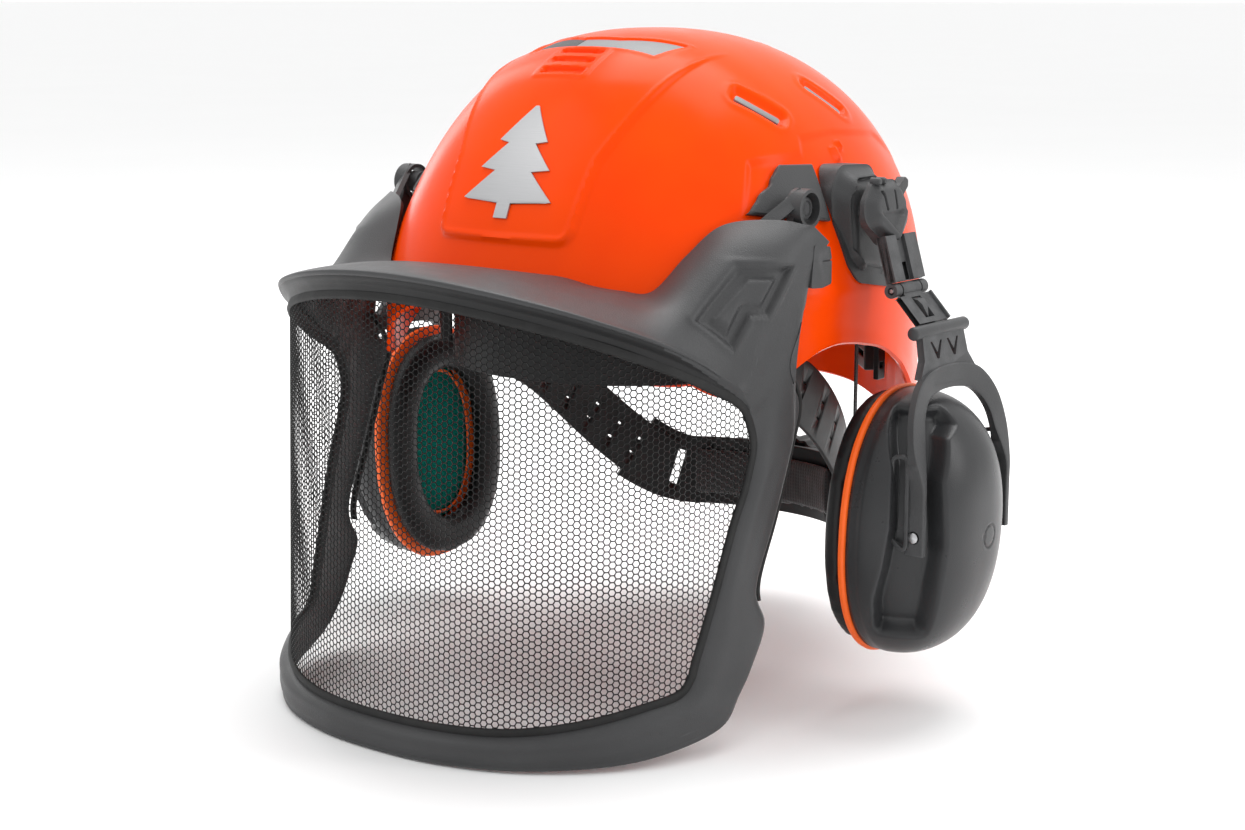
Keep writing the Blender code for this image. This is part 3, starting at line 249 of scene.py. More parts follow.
def spread_steps(spans):
    """Positions over a range whose spans (end, step) have their own spacing."""
    out = [0.0]
    for end, step in spans:
        count = max(1, int(round((end - out[-1]) / step)))
        out.extend(np.linspace(out[-1], end, count + 1)[1:])
    return np.array(out)


def rounded(corners, radius, steps=6):
    """A closed outline with its corners rounded."""
    out = []
    points = [Vector(c) for c in corners]
    for i, here in enumerate(points):
        to_last = points[i - 1] - here
        to_next = points[(i + 1) % len(points)] - here
        half = to_last.angle(to_next) / 2
        reach = min(radius / tan(half), to_last.length * 0.48, to_next.length * 0.48)
        start = here + to_last.normalized() * reach
        end = here + to_next.normalized() * reach
        for k in range(steps + 1):
            t = k / steps
            point = start * (1 - t) ** 2 + here * 2 * t * (1 - t) + end * t ** 2
            out.append((point.x, point.y))
    return out


def resample(outline, count):
    """A closed outline as evenly spaced points."""
    outline = np.asarray(outline, float)
    loop = np.vstack([outline, outline[:1]])
    length = np.concatenate([[0], np.cumsum(np.linalg.norm(np.diff(loop, axis=0), axis=1))])
    at = np.linspace(0, length[-1], count, endpoint=False)
    return np.stack([np.interp(at, length, loop[:, k]) for k in range(loop.shape[1])], -1)


def circle(radius, steps=32, centre=(0.0, 0.0)):
    return [(centre[0] + radius * cos(2 * pi * k / steps),
             centre[1] + radius * sin(2 * pi * k / steps)) for k in range(steps)]


def capsule(first, second, radius_first, radius_second, steps=16):
    """The outline round two circles of different size."""
    p, q = Vector(first), Vector(second)
    along = (q - p).normalized()
    turn = atan2(along.y, along.x)
    lean = np.arccos((radius_first - radius_second) / (q - p).length)
    out = []
    for centre, radius, start, end in ((p, radius_first, turn + lean, turn + 2 * pi - lean),
                                       (q, radius_second, turn - lean, turn + lean)):
        for k in range(steps + 1):
            a = start + (end - start) * k / steps
            out.append((centre.x + radius * cos(a), centre.y + radius * sin(a)))
    return out


# ---- mesh helpers --------------------------------------------------------------------------
def grid_bm(grid, closed=False, wrap=False, start=None, end=None, caps=False):
    """Quads over rows of points. closed joins the columns, wrap the rows; start and end are
    poles, caps closes both ends with one face."""
    grid = np.asarray(grid, float)
    rows, columns = grid.shape[:2]
    points = grid.reshape(-1, 3)
    j = np.arange(columns if closed else columns - 1)
    k = (j + 1) % columns
    i = np.arange(rows if wrap else rows - 1)[:, None]
    low, high = i * columns, ((i + 1) % rows) * columns
    faces = np.stack([low + j, low + k, high + k, high + j], -1).reshape(-1, 4).tolist()
    points = points.tolist()
    for pole, row in ((start, 0), (end, rows - 1)):
        if pole is not None:
            points.append(tuple(pole))
            base = row * columns
            faces.extend([[base + a, base + b, len(points) - 1] for a, b in zip(j, k)])
    if caps:
        faces.append(list(range(columns))[::-1])
        faces.append(list(range((rows - 1) * columns, rows * columns)))
    mesh = bpy.data.meshes.new("grid")
    mesh.from_pydata(points, [], faces)
    bm = bmesh.new()
    bm.from_mesh(mesh)
    bpy.data.meshes.remove(mesh)
    return bm


def place(a, b, h, axis):
    return {"X": (h, a, b), "Y": (a, h, b), "Z": (a, b, h)}[axis]


def prism_bm(outline, low, high, axis="X"):
    return grid_bm([[place(a, b, h, axis) for a, b in outline] for h in (low, high)],
                   closed=True, caps=True)


def turned_bm(profile, centre, axis="Y", steps=48, grip=None):
    """A solid of revolution from (radius, height) points; grip changes the radius by angle."""
    loops = []
    for radius, height in profile:
        turns = np.linspace(0, 2 * pi, steps, endpoint=False)
        r = radius * (grip(turns, radius) if grip else 1.0)
        loops.append([place(centre[0] + a * cos(t), centre[1] + a * sin(t), height, axis)
                      for a, t in zip(np.broadcast_to(r, turns.shape), turns)])
    return grid_bm(loops, closed=True, caps=True)


def slab_bm(corner, along, across, up, sizes):
    """A box from the middle of its first end: sizes are length, width and height."""
    length, width, height = sizes
    corner, along, across, up = Vector(corner), Vector(along), Vector(across), Vector(up)
    loops = []
    for share in (0.0, 1.0):
        here = corner + along * length * share
        loops.append([here + across * width * a / 2 + up * height * b / 2
                      for a, b in ((-1, -1), (1, -1), (1, 1), (-1, 1))])
    return grid_bm(loops, closed=True, caps=True)


def sweep_bm(centres, outwards, ups, section, closed=False, sizes=None):
    """A section, given as (out, up) points, carried along a line; sizes scale it by station."""
    sizes = [(1.0, 1.0)] * len(centres) if sizes is None else sizes
    loops = []
    for c, n, u, (wide, high) in zip(centres, outwards, ups, sizes):
        c, n, u = Vector(c), Vector(n), Vector(u)
        loops.append([c + n * a * wide + u * b * high for a, b in section])
    return grid_bm(loops, closed=True, wrap=closed, caps=not closed)


def rounded_section(thickness, width, radius):
    half, broad = thickness / 2, width / 2
    return rounded([(-half, -broad), (half, -broad), (half, broad), (-half, broad)],
                   min(radius, half * 0.95), 3)


def join_bm(*parts):
    """Several meshes as one."""
    whole = bmesh.new()
    for bm in parts:
        mesh = bpy.data.meshes.new("join")
        bm.to_mesh(mesh)
        whole.from_mesh(mesh)
        bpy.data.meshes.remove(mesh)
    return whole


def mirrored(bm, side):
    """The left-hand mesh, or its mirror image for the right side."""
    if side < 0:
        bmesh.ops.scale(bm, vec=(-1.0, 1.0, 1.0), verts=bm.verts)
        bmesh.ops.reverse_faces(bm, faces=bm.faces)
    return bm


def new_object(name, bm, sharp=40.0):
    bmesh.ops.remove_doubles(bm, verts=bm.verts, dist=1e-7)
    bmesh.ops.recalc_face_normals(bm, faces=bm.faces)
    mesh = bpy.data.meshes.new(name)
    bm.to_mesh(mesh)
    bm.free()
    mesh.shade_smooth()
    mesh.set_sharp_from_angle(angle=radians(sharp))
    obj = bpy.data.objects.new(name, mesh)
    bpy.context.scene.collection.objects.link(obj)
    return obj


def bevel(obj, width, segments=3, angle=35.0):
    mod = obj.modifiers.new("bevel", "BEVEL")
    mod.width = width
    mod.segments = segments
    mod.limit_method = "ANGLE"
    mod.angle_limit = radians(angle)
    mod.harden_normals = True
    return obj


def solidify(obj, thickness, offset=-1.0):
    mod = obj.modifiers.new("wall", "SOLIDIFY")
    mod.thickness = thickness
    mod.offset = offset
    mod.use_even_offset = False
    return obj


def apply_modifiers(obj):
    """Replaces the mesh with what its modifiers make of it."""
    evaluated = obj.evaluated_get(bpy.context.evaluated_depsgraph_get())
    mesh = bpy.data.meshes.new_from_object(evaluated)
    obj.modifiers.clear()
    old = obj.data
    obj.data = mesh
    bpy.data.meshes.remove(old)
    return obj


def carve(obj, *tools, operation="DIFFERENCE"):
    """Booleans, applied one after the other."""
    for bm in tools:
        tool = new_object("tool", bm)
        mod = obj.modifiers.new("carve", "BOOLEAN")
        mod.operation = operation
        mod.solver = "EXACT"
        mod.object = tool
        apply_modifiers(obj)
        bpy.data.objects.remove(tool)
    return obj


def unite(obj, *tools):
    return carve(obj, *tools, operation="UNION")


def finish(obj, slot, body, *nodes):
    """Gives a piece its finish and its body, and hides the CAD nodes it stands for."""
    obj.data.materials.clear()
    obj.data.materials.append(material(slot))
    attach(obj, body)
    if nodes:
        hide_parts(*nodes)
    return obj


def add_piece(name, bm, slot, body, *nodes, side=1, sharp=40.0):
    """A finished piece from its left-hand mesh, mirrored for the right side."""
    return finish(new_object(name, mirrored(bm, side), sharp), slot, body, *nodes)


# ---- materials -----------------------------------------------------------------------------
class Graph:
    """A material's nodes, made one by one."""

    def __init__(self, name):
        self.material = bpy.data.materials.new(name)
        self.material.use_nodes = True
        self.tree = self.material.node_tree
        self.shader = self.tree.nodes["Principled BSDF"]
        self.coords = self.tree.nodes.new("ShaderNodeTexCoord").outputs["Object"]

    def node(self, kind, inputs=(), **settings):
        made = self.tree.nodes.new(kind)
        for key, value in settings.items():
            setattr(made, key, value)
        for key, value in dict(inputs).items():
            if isinstance(value, bpy.types.NodeSocket):
                self.tree.links.new(value, made.inputs[key])
            else:
                made.inputs[key].default_value = value
        return made

    def noise(self, scale, detail=3.0, rough=0.55):
        return self.node("ShaderNodeTexNoise", {"Vector": self.coords, "Scale": scale,
                                                "Detail": detail, "Roughness": rough}).outputs["Fac"]

    def cells(self, scale):
        return self.node("ShaderNodeTexVoronoi",
                         {"Vector": self.coords, "Scale": scale}).outputs["Distance"]

    def mapped(self, value, low, high, start, end):
        return self.node("ShaderNodeMapRange", {"Value": value, "From Min": low, "From Max": high,
                                                "To Min": start, "To Max": end}).outputs["Result"]

    def maths(self, operation, a, b):
        return self.node("ShaderNodeMath", {0: a, 1: b}, operation=operation).outputs[0]

    def mixed(self, share, a, b):
        mix = self.node("ShaderNodeMix", data_type="RGBA")
        for key, value in ((0, share), (6, a), (7, b)):
            if isinstance(value, bpy.types.NodeSocket):
                self.tree.links.new(value, mix.inputs[key])
            else:
                mix.inputs[key].default_value = value
        return mix.outputs[2]

    def set(self, key, value):
        if isinstance(value, bpy.types.NodeSocket):
            self.tree.links.new(value, self.shader.inputs[key])
        else:
            self.shader.inputs[key].default_value = value

    def bump(self, height, distance, strength=1.0):
        made = self.node("ShaderNodeBump", {"Height": height, "Distance": distance,
                                            "Strength": strength})
        self.set("Normal", made.outputs["Normal"])


def shade(colour, factor):
    return tuple(min(1.0, c * factor) for c in colour) + (1.0,)


def plastic(name, colour, rough, grain, grain_scale=2600.0, wear=1.6, vary=0.10, coat=0.0,
            metal=0.0):
    """Moulded plastic: fine grain, slow colour and gloss changes, paler rubbed edges."""
    g = Graph(name)
    slow = g.noise(28.0, 4.0)
    body = g.mixed(g.mapped(slow, 0.3, 0.7, 0.0, 1.0), shade(colour, 1 - vary),
                   shade(colour, 1 + vary))
    edge = g.node("ShaderNodeNewGeometry").outputs["Pointiness"]
    worn = g.maths("MULTIPLY", g.mapped(edge, 0.53, 0.60, 0.0, 1.0),
                   g.mapped(g.noise(160.0, 5.0), 0.40, 0.65, 0.15, 0.9))
    g.set("Base Color", g.mixed(worn, body, shade(colour, wear)))
    smudge = g.mapped(g.noise(75.0, 5.0, 0.6), 0.25, 0.75, rough * 0.86, min(1.0, rough * 1.14))
    g.set("Roughness", smudge)
    g.set("Metallic", metal)
    g.set("Specular IOR Level", 0.32)
    g.set("Coat Weight", coat)
    g.set("Coat Roughness", 0.08)
    if grain:
        texture = g.maths("ADD", g.cells(grain_scale), g.noise(grain_scale * 0.6, 2.0))
        g.bump(texture, grain)
    return g.material


def shell_gloss():
    """Glossy orange shell plastic with a faint orange-peel; its hollows are painted darker and redder as
    painted shade.
    """
    g = Graph("shell_orange")
    slow = g.noise(16.0, 3.0)
    body = g.mixed(g.mapped(slow, 0.35, 0.65, 0.0, 1.0), (0.90, 0.052, 0.0001, 1),
                   (0.94, 0.064, 0.0002, 1))
    # Painted shade: concave places (low pointiness) are mixed towards a darker red.
    hollow = g.node("ShaderNodeNewGeometry").outputs["Pointiness"]
    painted_hollow_shade = g.mapped(hollow, 0.46, 0.40, 0.0, 0.8)
    g.set("Base Color", g.mixed(painted_hollow_shade, body, (0.62, 0.018, 0.0001, 1)))
    g.set("Roughness", g.mapped(g.noise(60.0, 5.0), 0.3, 0.7, 0.20, 0.27))
    g.set("Specular IOR Level", 0.08)
    g.bump(g.noise(420.0, 2.0), 0.00002)
    return g.material


def brushed_silver():
    g = Graph("emblem_silver")
    stretch = g.node("ShaderNodeMapping", {"Vector": g.coords, "Scale": (60.0, 60.0, 3800.0)})
    lines = g.node("ShaderNodeTexNoise", {"Vector": stretch.outputs["Vector"], "Scale": 1.0,
                                          "Detail": 4.0}).outputs["Fac"]
    g.set("Base Color", g.mixed(lines, (0.36, 0.365, 0.37, 1), (0.50, 0.50, 0.51, 1)))
    g.set("Metallic", 0.65)
    g.set("Roughness", g.mapped(lines, 0.3, 0.7, 0.30, 0.46))
    g.bump(lines, 0.00001)
    return g.material


def vinyl():
    """Smooth cushion skin with fine creases."""
    g = Graph("cushion_black")
    crease = g.maths("ADD", g.cells(900.0), g.noise(140.0, 6.0, 0.65))
    g.set("Base Color", g.mixed(g.noise(40.0), (0.004, 0.004, 0.0045, 1), (0.009, 0.009, 0.0095, 1)))
    g.set("Roughness", g.mapped(g.noise(90.0, 5.0), 0.3, 0.7, 0.34, 0.48))
    g.set("Specular IOR Level", 0.28)
    g.bump(crease, 0.00005)
    return g.material


def open_foam():
    g = Graph("foam_teal")
    pores = g.node("ShaderNodeTexVoronoi", {"Vector": g.coords, "Scale": 1500.0}).outputs["Distance"]
    coarse = g.noise(500.0, 6.0, 0.7)
    g.set("Base Color", g.mixed(g.mapped(pores, 0.1, 0.6, 0.0, 1.0), (0.001, 0.070, 0.055, 1),
                                (0.003, 0.20, 0.155, 1)))
    g.set("Roughness", 0.95)
    g.set("Specular IOR Level", 0.08)
    g.bump(g.maths("ADD", pores, coarse), 0.0004)
    return g.material


def weave():
    """Woven webbing and knitted pad cloth: two crossing sets of threads."""
    g = Graph("webbing_black")
    waves = []
    for direction in ("X", "Z"):
        waves.append(g.node("ShaderNodeTexWave", {"Vector": g.coords, "Scale": 190.0,
                                                  "Distortion": 1.2, "Detail": 1.0},
                            bands_direction=direction).outputs["Fac"])
    threads = g.maths("MAXIMUM", *waves)
    g.set("Base Color", g.mixed(threads, (0.006, 0.006, 0.006, 1), (0.028, 0.028, 0.029, 1)))
    g.set("Roughness", 0.88)
    g.set("Sheen Weight", 0.35)
    g.bump(g.maths("ADD", threads, g.noise(2400.0, 3.0)), 0.00012)
    return g.material


def turned_steel():
    g = Graph("steel")
    lines = g.noise(3000.0, 2.0)
    g.set("Base Color", g.mixed(g.noise(120.0), (0.40, 0.40, 0.41, 1), (0.56, 0.56, 0.57, 1)))
    g.set("Metallic", 1.0)
    g.set("Roughness", g.mapped(lines, 0.3, 0.7, 0.24, 0.40))
    g.bump(lines, 0.00001)
    return g.material


FINISHES = {
    "shell_orange": shell_gloss,
    "emblem_silver": brushed_silver,
    "cushion_black": vinyl,
    "foam_teal": open_foam,
    "webbing_black": weave,
    "steel": turned_steel,
    "frame_grey": lambda: plastic("frame_grey", (0.044, 0.0445, 0.046), 0.42, 0.00006, 2400.0, 1.5),
    "fitting_grey": lambda: plastic("fitting_grey", (0.044, 0.0445, 0.046), 0.44, 0.00007, 2200.0, 1.7),
    "cup_grey": lambda: plastic("cup_grey", (0.026, 0.0265, 0.028), 0.30, 0.00003, 2800.0, 1.8),
    "black_plastic": lambda: plastic("black_plastic", (0.007, 0.007, 0.0075), 0.44, 0.00003, 2600.0, 2.2),
    "black_rubber": lambda: plastic("black_rubber", (0.010, 0.010, 0.010), 0.62, 0.00004, 1800.0, 1.9),
    "mesh_black": lambda: plastic("mesh_black", (0.009, 0.009, 0.009), 0.40, 0.00001, 3000.0, 1.8,
                                  metal=0.2),
    "vent_grey": lambda: plastic("vent_grey", (0.22, 0.225, 0.23), 0.42, 0.00004, 2600.0, 1.3,
                                 metal=0.15),
    "ring_orange": lambda: plastic("ring_orange", (0.95, 0.13, 0.012), 0.40, 0.00002, 2600.0, 1.1),
}


def material(slot):
    made = bpy.data.materials.get(slot + "_finish")
    if made is None:
        made = FINISHES[slot]()
        made.name = slot + "_finish"
    return made


# ---- shell ---------------------------------------------------------------------------------
def shell_point(angle, z, proud=0.0):
    """A point of the outer surface; angle in radians, 0 at +X and pi/2 at the rear."""
    angle, z = np.broadcast_arrays(np.asarray(angle, float), np.asarray(z, float))
    h = np.clip((z - SHELL_SPRING_Z) / (SHELL_CROWN_Z - SHELL_SPRING_Z), 0.0, 1.0)
    c, s = np.cos(angle), np.sin(angle)
    end = np.abs(s) ** 1.5
    profile = np.where(s < 0, SHELL_FRONT_PROFILE, SHELL_REAR_PROFILE) * end
    profile = profile + SHELL_SIDE_PROFILE * (1 - end)
    shrink = (1 - h ** profile) ** (1 / profile)
    shrink = shrink * (1 + SHELL_FLARE * (1 - h) ** 2 * (0.5 - 0.5 * s))
    length = np.where(s < 0, SHELL_FRONT, SHELL_REAR)
    plan = np.where(s < 0, SHELL_FRONT_PLAN, SHELL_REAR_PLAN)
    point = np.stack([SHELL_HALF_WIDTH * shrink * spow(c, 2 / plan),
                      length * shrink * spow(s, 2 / plan), z], -1)
    if np.any(proud):
        point = point + shell_normal(angle, z) * np.asarray(proud)[..., None]
    return point


def shell_normal(angle, z):
    step = 1e-4
    across = shell_point(angle + step, z) - shell_point(angle - step, z)
    high = np.minimum(z + step, SHELL_CROWN_Z - 1e-5)
    rise = shell_point(angle, high) - shell_point(angle, high - 2 * step)
    return unit(np.cross(across, rise))


def angle_where(coordinate, value, z, low, high):
    """The plan angles between low and high where x or y of the surface has a value."""
    value, z = np.broadcast_arrays(np.asarray(value, float), z)
    low, high = np.full(value.shape, low), np.full(value.shape, high)
    rising = shell_point(high, z)[..., coordinate] > shell_point(low, z)[..., coordinate]
    for _ in range(40):
        middle = (low + high) / 2
        under = (shell_point(middle, z)[..., coordinate] < value) == rising
        low, high = np.where(under, middle, low), np.where(under, high, middle)
    return (low + high) / 2


def side_point(y, z, proud=0.0):
    """The shell's left side at a height and a distance along the head."""
    angle = angle_where(1, y, z, -pi / 2 + 0.05, pi / 2 - 0.05)
    return shell_point(angle, z, np.broadcast_to(proud, angle.shape))


def shell_angle(x, y):
    """The plan angle of the surface point that lies in the direction of (x, y)."""
    length = np.where(y < 0, SHELL_FRONT, SHELL_REAR)
    half_plan = np.where(y < 0, SHELL_FRONT_PLAN, SHELL_REAR_PLAN) / 2
    return np.arctan2(spow(y / length, half_plan), spow(x / SHELL_HALF_WIDTH, half_plan))


def shell_reach(x, y, z):
    """Distance from the centre line to the outer surface in the direction of (x, y)."""
    return np.linalg.norm(shell_point(shell_angle(x, y), z)[..., :2], axis=-1)


def shell_top(x, y):
    """Height of the outer surface over points in plan, on the crown."""
    low, high = np.full(np.shape(x), 0.10), np.full(np.shape(x), SHELL_CROWN_Z)
    for _ in range(40):
        middle = (low + high) / 2
        over = shell_reach(x, y, middle) > np.hypot(x, y)
        low, high = np.where(over, middle, low), np.where(over, high, middle)
    return low


def off_shell(point, gap):
    """A point moved out, in plan, until it clears the shell by a gap."""
    reach = float(shell_reach(point[0], point[1], point[2] - FRAME_WALL)) + gap
    grow = max(1.0, reach / np.hypot(point[0], point[1]))
    return Vector((point[0] * grow, point[1] * grow, point[2]))


def rim_height(angle):
    """Height of the rim; the shell is the same on both sides."""
    fold = np.degrees(np.arcsin(np.clip(np.sin(angle), -1, 1)))
    keys = np.array(RIM)
    return smooth_curve(keys, np.interp(fold, keys[:, 0], np.arange(len(keys))))[..., 1]


def vent_axes(vent):
    """The middle of a left side vent, its long and short directions and its outward one."""
    angle, z, _, _, slope = vent
    at = shell_point(radians(angle), z)
    normal = shell_normal(radians(angle), np.array(z))
    along = unit(np.array((-normal[1], normal[0], 0.0)))
    up = np.cross(normal, along)
    turn = radians(slope)
    return at, along * cos(turn) + up * sin(turn), up * cos(turn) - along * sin(turn), normal


def shell_relief(points):
    """How far the surface stands out at each point: panel, louvres, vents and sunk sides."""
    x, y, z = np.abs(points[..., 0]), points[..., 1], points[..., 2]
    front = smoothstep(-0.010, -0.030, y)
    keys = np.array(PANEL_SIDE)
    half = np.interp(z, keys[:, 0], keys[:, 1])
    side, low = half - x, z - PANEL_LOW
    corner = 0.006
    depth = np.where((side < corner) & (low < corner),
                     corner - np.hypot(corner - side, corner - low), np.minimum(side, low))
    fade = 1 - smoothstep(0.150, 0.1705, z)
    relief = PANEL_RISE * smoothstep(-0.0012, 0.0013, depth) * fade * front
    relief = relief + 0.0006 * np.exp(-((depth - 0.0012) / 0.0011) ** 2) * fade * front

    crown = z > CROWN_DETAIL_Z
    for middle in LOUVRE_Y:
        inside = box_depth(x, y - middle, *LOUVRE_HALF, 0.0006)
        relief = relief - LOUVRE_DEPTH * smoothstep(-0.0003, 0.0006, inside) * crown
    around = box_depth(x, y - np.mean(LOUVRE_Y), *LOUVRE_FRAME_HALF, 0.003)
    relief = relief + 0.0004 * smoothstep(0.0, 0.0015, around) * crown

    for outline, sunk in ((CROWN_VENT_FRONT, 0.0011), (CROWN_VENT_REAR, 0.0022)):
        inside = polygon_depth(points[..., 0], y, outline)
        relief = relief - sunk * smoothstep(-0.0004, 0.0005, inside) * crown
        relief = relief + 0.0004 * np.exp(-((inside + 0.0012) / 0.0010) ** 2) * crown

    folded = np.stack([x, y, z], -1)
    for vent in SIDE_VENTS:
        at, long_way, short_way, _ = vent_axes(vent)
        a, b = (folded - at) @ long_way, (folded - at) @ short_way
        inside = box_depth(a, b - 0.0006, vent[2] + 0.0016, vent[3] + 0.0018, 0.0034)
        relief = relief - VENT_POCKET * smoothstep(-0.0010, 0.0022, inside) * crown
        relief = relief + 0.0004 * np.exp(-((inside + 0.0022) / 0.0016) ** 2) * crown

    keys = np.array(FITTING_LINE)
    line = np.interp(y, keys[:, 0], keys[:, 1])
    slope = np.gradient(keys[:, 1], keys[:, 0])
    steep = np.hypot(1.0, np.interp(y, keys[:, 0], slope))
    under = (line - z) / steep
    ends = smoothstep(-0.078, -0.048, y) * (1 - smoothstep(0.060, 0.092, y))
    sides = smoothstep(0.050, 0.070, x)
    relief = relief - FITTING_SUNK * smoothstep(-0.0012, 0.0014, under) * ends * sides
    for spot_y, spot_z, size in ((0.0045, 0.1225, 0.0019), (0.0100, 0.1255, 0.0013)):
        inside = box_depth(y - spot_y, z - spot_z, size, size * 1.5, 0.0006)
        relief = relief + 0.0016 * smoothstep(-0.0006, 0.0006, inside) * sides
    return relief


def shell_columns():
    """Plan angles, closer together over the front and sides than over the rear."""
    half = spread_steps(((48, 0.66), (115, 0.70), (180, 1.7)))
    turns = np.concatenate([half, 360 - half[-2:0:-1]])
    return np.radians(turns - 90)


def make_shell():
    """Outer and inner skin in one grid, joined round the rim."""
    angles = shell_columns()
    foot = rim_height(angles)
    shares = spread_steps(((0.14, 0.0115), (0.42, 0.0066), (0.93, 0.0042), (0.995, 0.0090)))
    heights = foot + (SHELL_CROWN_Z - foot) * np.sin(shares * pi / 2)[:, None]
    base = shell_point(angles, heights)
    relief = shell_relief(base)
    bead = 0.0007 * np.exp(-(((heights - foot) - 0.0012) / 0.0016) ** 2)
    normals = shell_normal(np.broadcast_to(angles, heights.shape), heights)
    outer = base + normals * (relief + bead)[..., None]

    inner_shares = np.linspace(0.0, 0.985, 30)
    inner_heights = foot + (SHELL_CROWN_Z - foot) * np.sin(inner_shares * pi / 2)[:, None]
    inner_base = shell_point(angles, inner_heights)
    inner_normals = shell_normal(np.broadcast_to(angles, inner_heights.shape), inner_heights)
    ribs = 0.0006 * (0.5 + 0.5 * np.sign(np.sin(angles * 70))) * (np.sin(angles) > 0.2)
    ribbed = ribs * ((inner_shares[:, None] > 0.05) & (inner_shares[:, None] < 0.11))
    sunk = np.minimum(shell_relief(inner_base), 0.0) - SHELL_WALL - ribbed
    inner = inner_base + inner_normals * sunk[..., None]
    edge = (outer[0] + inner[0]) / 2 - np.array((0, 0, 0.0009))
    grid = np.concatenate([inner[::-1], edge[None], outer])
    skin = grid_bm(grid, closed=True, start=(0, 0, SHELL_CROWN_Z - SHELL_WALL),
                   end=(0, 0, SHELL_CROWN_Z))
    add_piece("shell_skin", skin, "shell_orange", "helmet", "shell", sharp=50)


def crown_plate(name, front, rear, sunk, slot, *nodes):
    """A plate in a crown vent between a front and a rear line, each given from left to right."""
    lines = []
    for keys in (front, rear):
        keys = np.array(keys)
        across = np.linspace(keys[0, 0], keys[-1, 0], 61)
        lines.append(np.stack([across, np.interp(across, keys[:, 0], keys[:, 1])], -1))
    grid = []
    for share in np.linspace(0.03, 0.97, 17):
        flat = lines[0] * (1 - share) + lines[1] * share
        top = shell_top(flat[:, 0], flat[:, 1]) - sunk
        grid.append(np.column_stack([flat, top]))
    plate = add_piece(name, grid_bm(grid), slot, "helmet", *nodes, sharp=30)
    solidify(plate, THIN_PLATE)
    bevel(plate, 0.00025, 2, 50)


def make_vent_inserts():
    """Plates in the two crown vents, and bars in the side vents."""
    # The front vent plate is split in two. The part towards +X keeps the pale vent grey as a painted
    # reflection. The part towards -X takes the dark fitting grey as painted shade. Together they stand in for
    # the lit and shaded facets of a roof-shaped insert.
    crown_plate("crown_vent_front_lit_half_plate", ((-0.0085, -0.0456), (0.0, -0.0462), (0.0325, -0.0437)),
                ((-0.0085, -0.0369), (0.010, -0.0369), (0.0375, -0.0264)), 0.0004, "vent_grey",
                "crown_vent_front")
    crown_plate("crown_vent_front_shaded_half_plate", ((-0.0325, -0.0437), (-0.0088, -0.0455)),
                ((-0.0375, -0.0264), (-0.0100, -0.0369), (-0.0088, -0.0369)), 0.0004,
                "fitting_grey")
    crown_plate("crown_vent_rear_plate", ((-0.0255, 0.0463), (0.0255, 0.0463)),
                ((-0.0295, 0.0597), (0.0295, 0.0597)), 0.0014, "black_plastic",
                "crown_vent_rear")
    for name, side in SIDES:
        parts = []
        for vent in SIDE_VENTS:
            at, long_way, short_way, normal = vent_axes(vent)
            half_long, half_wide = vent[2] - 0.0010, 0.0016
            outline = rounded([(-half_long, -half_wide), (half_long, -half_wide),
                               (half_long, half_wide), (-half_long, half_wide)], 0.0012, 5)
            middle = at - short_way * 0.0011
            loops = [[middle + long_way * a * s + short_way * b * s - normal * d
                      for a, b in outline]
                     for s, d in ((1.0, 0.0026), (1.0, 0.0012), (0.93, 0.00105))]
            parts.append(grid_bm(loops, closed=True, caps=True))
        add_piece(f"side_vent_liners_{name}", join_bm(*parts), "vent_grey", "helmet",
                  f"side_vent_liner_{name}", side=side, sharp=30)


def make_emblem():
    """A generic conifer with bevelled edges, laid on the front panel."""
    keys = np.array(EMBLEM)
    shares = np.unique(np.concatenate([keys[:, 0], np.linspace(0, 1, 45)]))
    grid = []
    for share in shares:
        half = float(np.interp(share, keys[:, 0], keys[:, 1]))
        z = EMBLEM_LOW + (EMBLEM_HIGH - EMBLEM_LOW) * share
        angles = angle_where(0, half * np.linspace(-1, 1, 31), z, -pi + 0.2, -0.2)
        grid.append(shell_point(angles, z, np.full(31, PANEL_RISE + 0.0001)))
    emblem = add_piece("conifer_plate", grid_bm(grid), "emblem_silver", "helmet",
                       "conifer_emblem", sharp=30)
    solidify(emblem, THIN_PLATE, offset=1.0)
    bevel(emblem, 0.00022, 2, 50)


# ---- visor ---------------------------------------------------------------------------------
def sheet_table():
    turn = np.linspace(0, pi / 2, 2001)
    x = SHEET_HALF_WIDTH * spow(np.cos(turn), 2 / SHEET_PLAN)
    reach = SHEET_REACH + SHEET_TOP_Z * SHEET_LEAN
    y = -reach * spow(np.sin(turn), 2 / SHEET_PLAN)
    length = np.concatenate([[0], np.cumsum(np.hypot(np.diff(x), np.diff(y)))])
    return turn, length[-1] - length


SHEET_TURN, SHEET_LENGTH = sheet_table()


def sheet_point(u, z, off=0.0):
    """A point of the visor's sheet: u runs round it from the front, off is outward."""
    u, z, off = np.broadcast_arrays(np.asarray(u, float), z, off)
    turn = np.interp(np.abs(u), SHEET_LENGTH[::-1], SHEET_TURN[::-1])
    reach = SHEET_REACH + (SHEET_TOP_Z - z) * SHEET_LEAN + off
    x = (SHEET_HALF_WIDTH + off) * spow(np.cos(turn), 2 / SHEET_PLAN)
    y = SHEET_SIDE_Y - reach * spow(np.sin(turn), 2 / SHEET_PLAN)
    y = y + np.clip(np.abs(u) - SHEET_LENGTH[0], 0, None)
    return np.stack([x * np.where(u < 0, -1, 1), y, z + 0.0 * u], -1)


def lip_fade(u):
    """1 along the brim's lip, 0 where it has run out into the wing."""
    return 1 - float(smoothstep(0.115, 0.156, u))


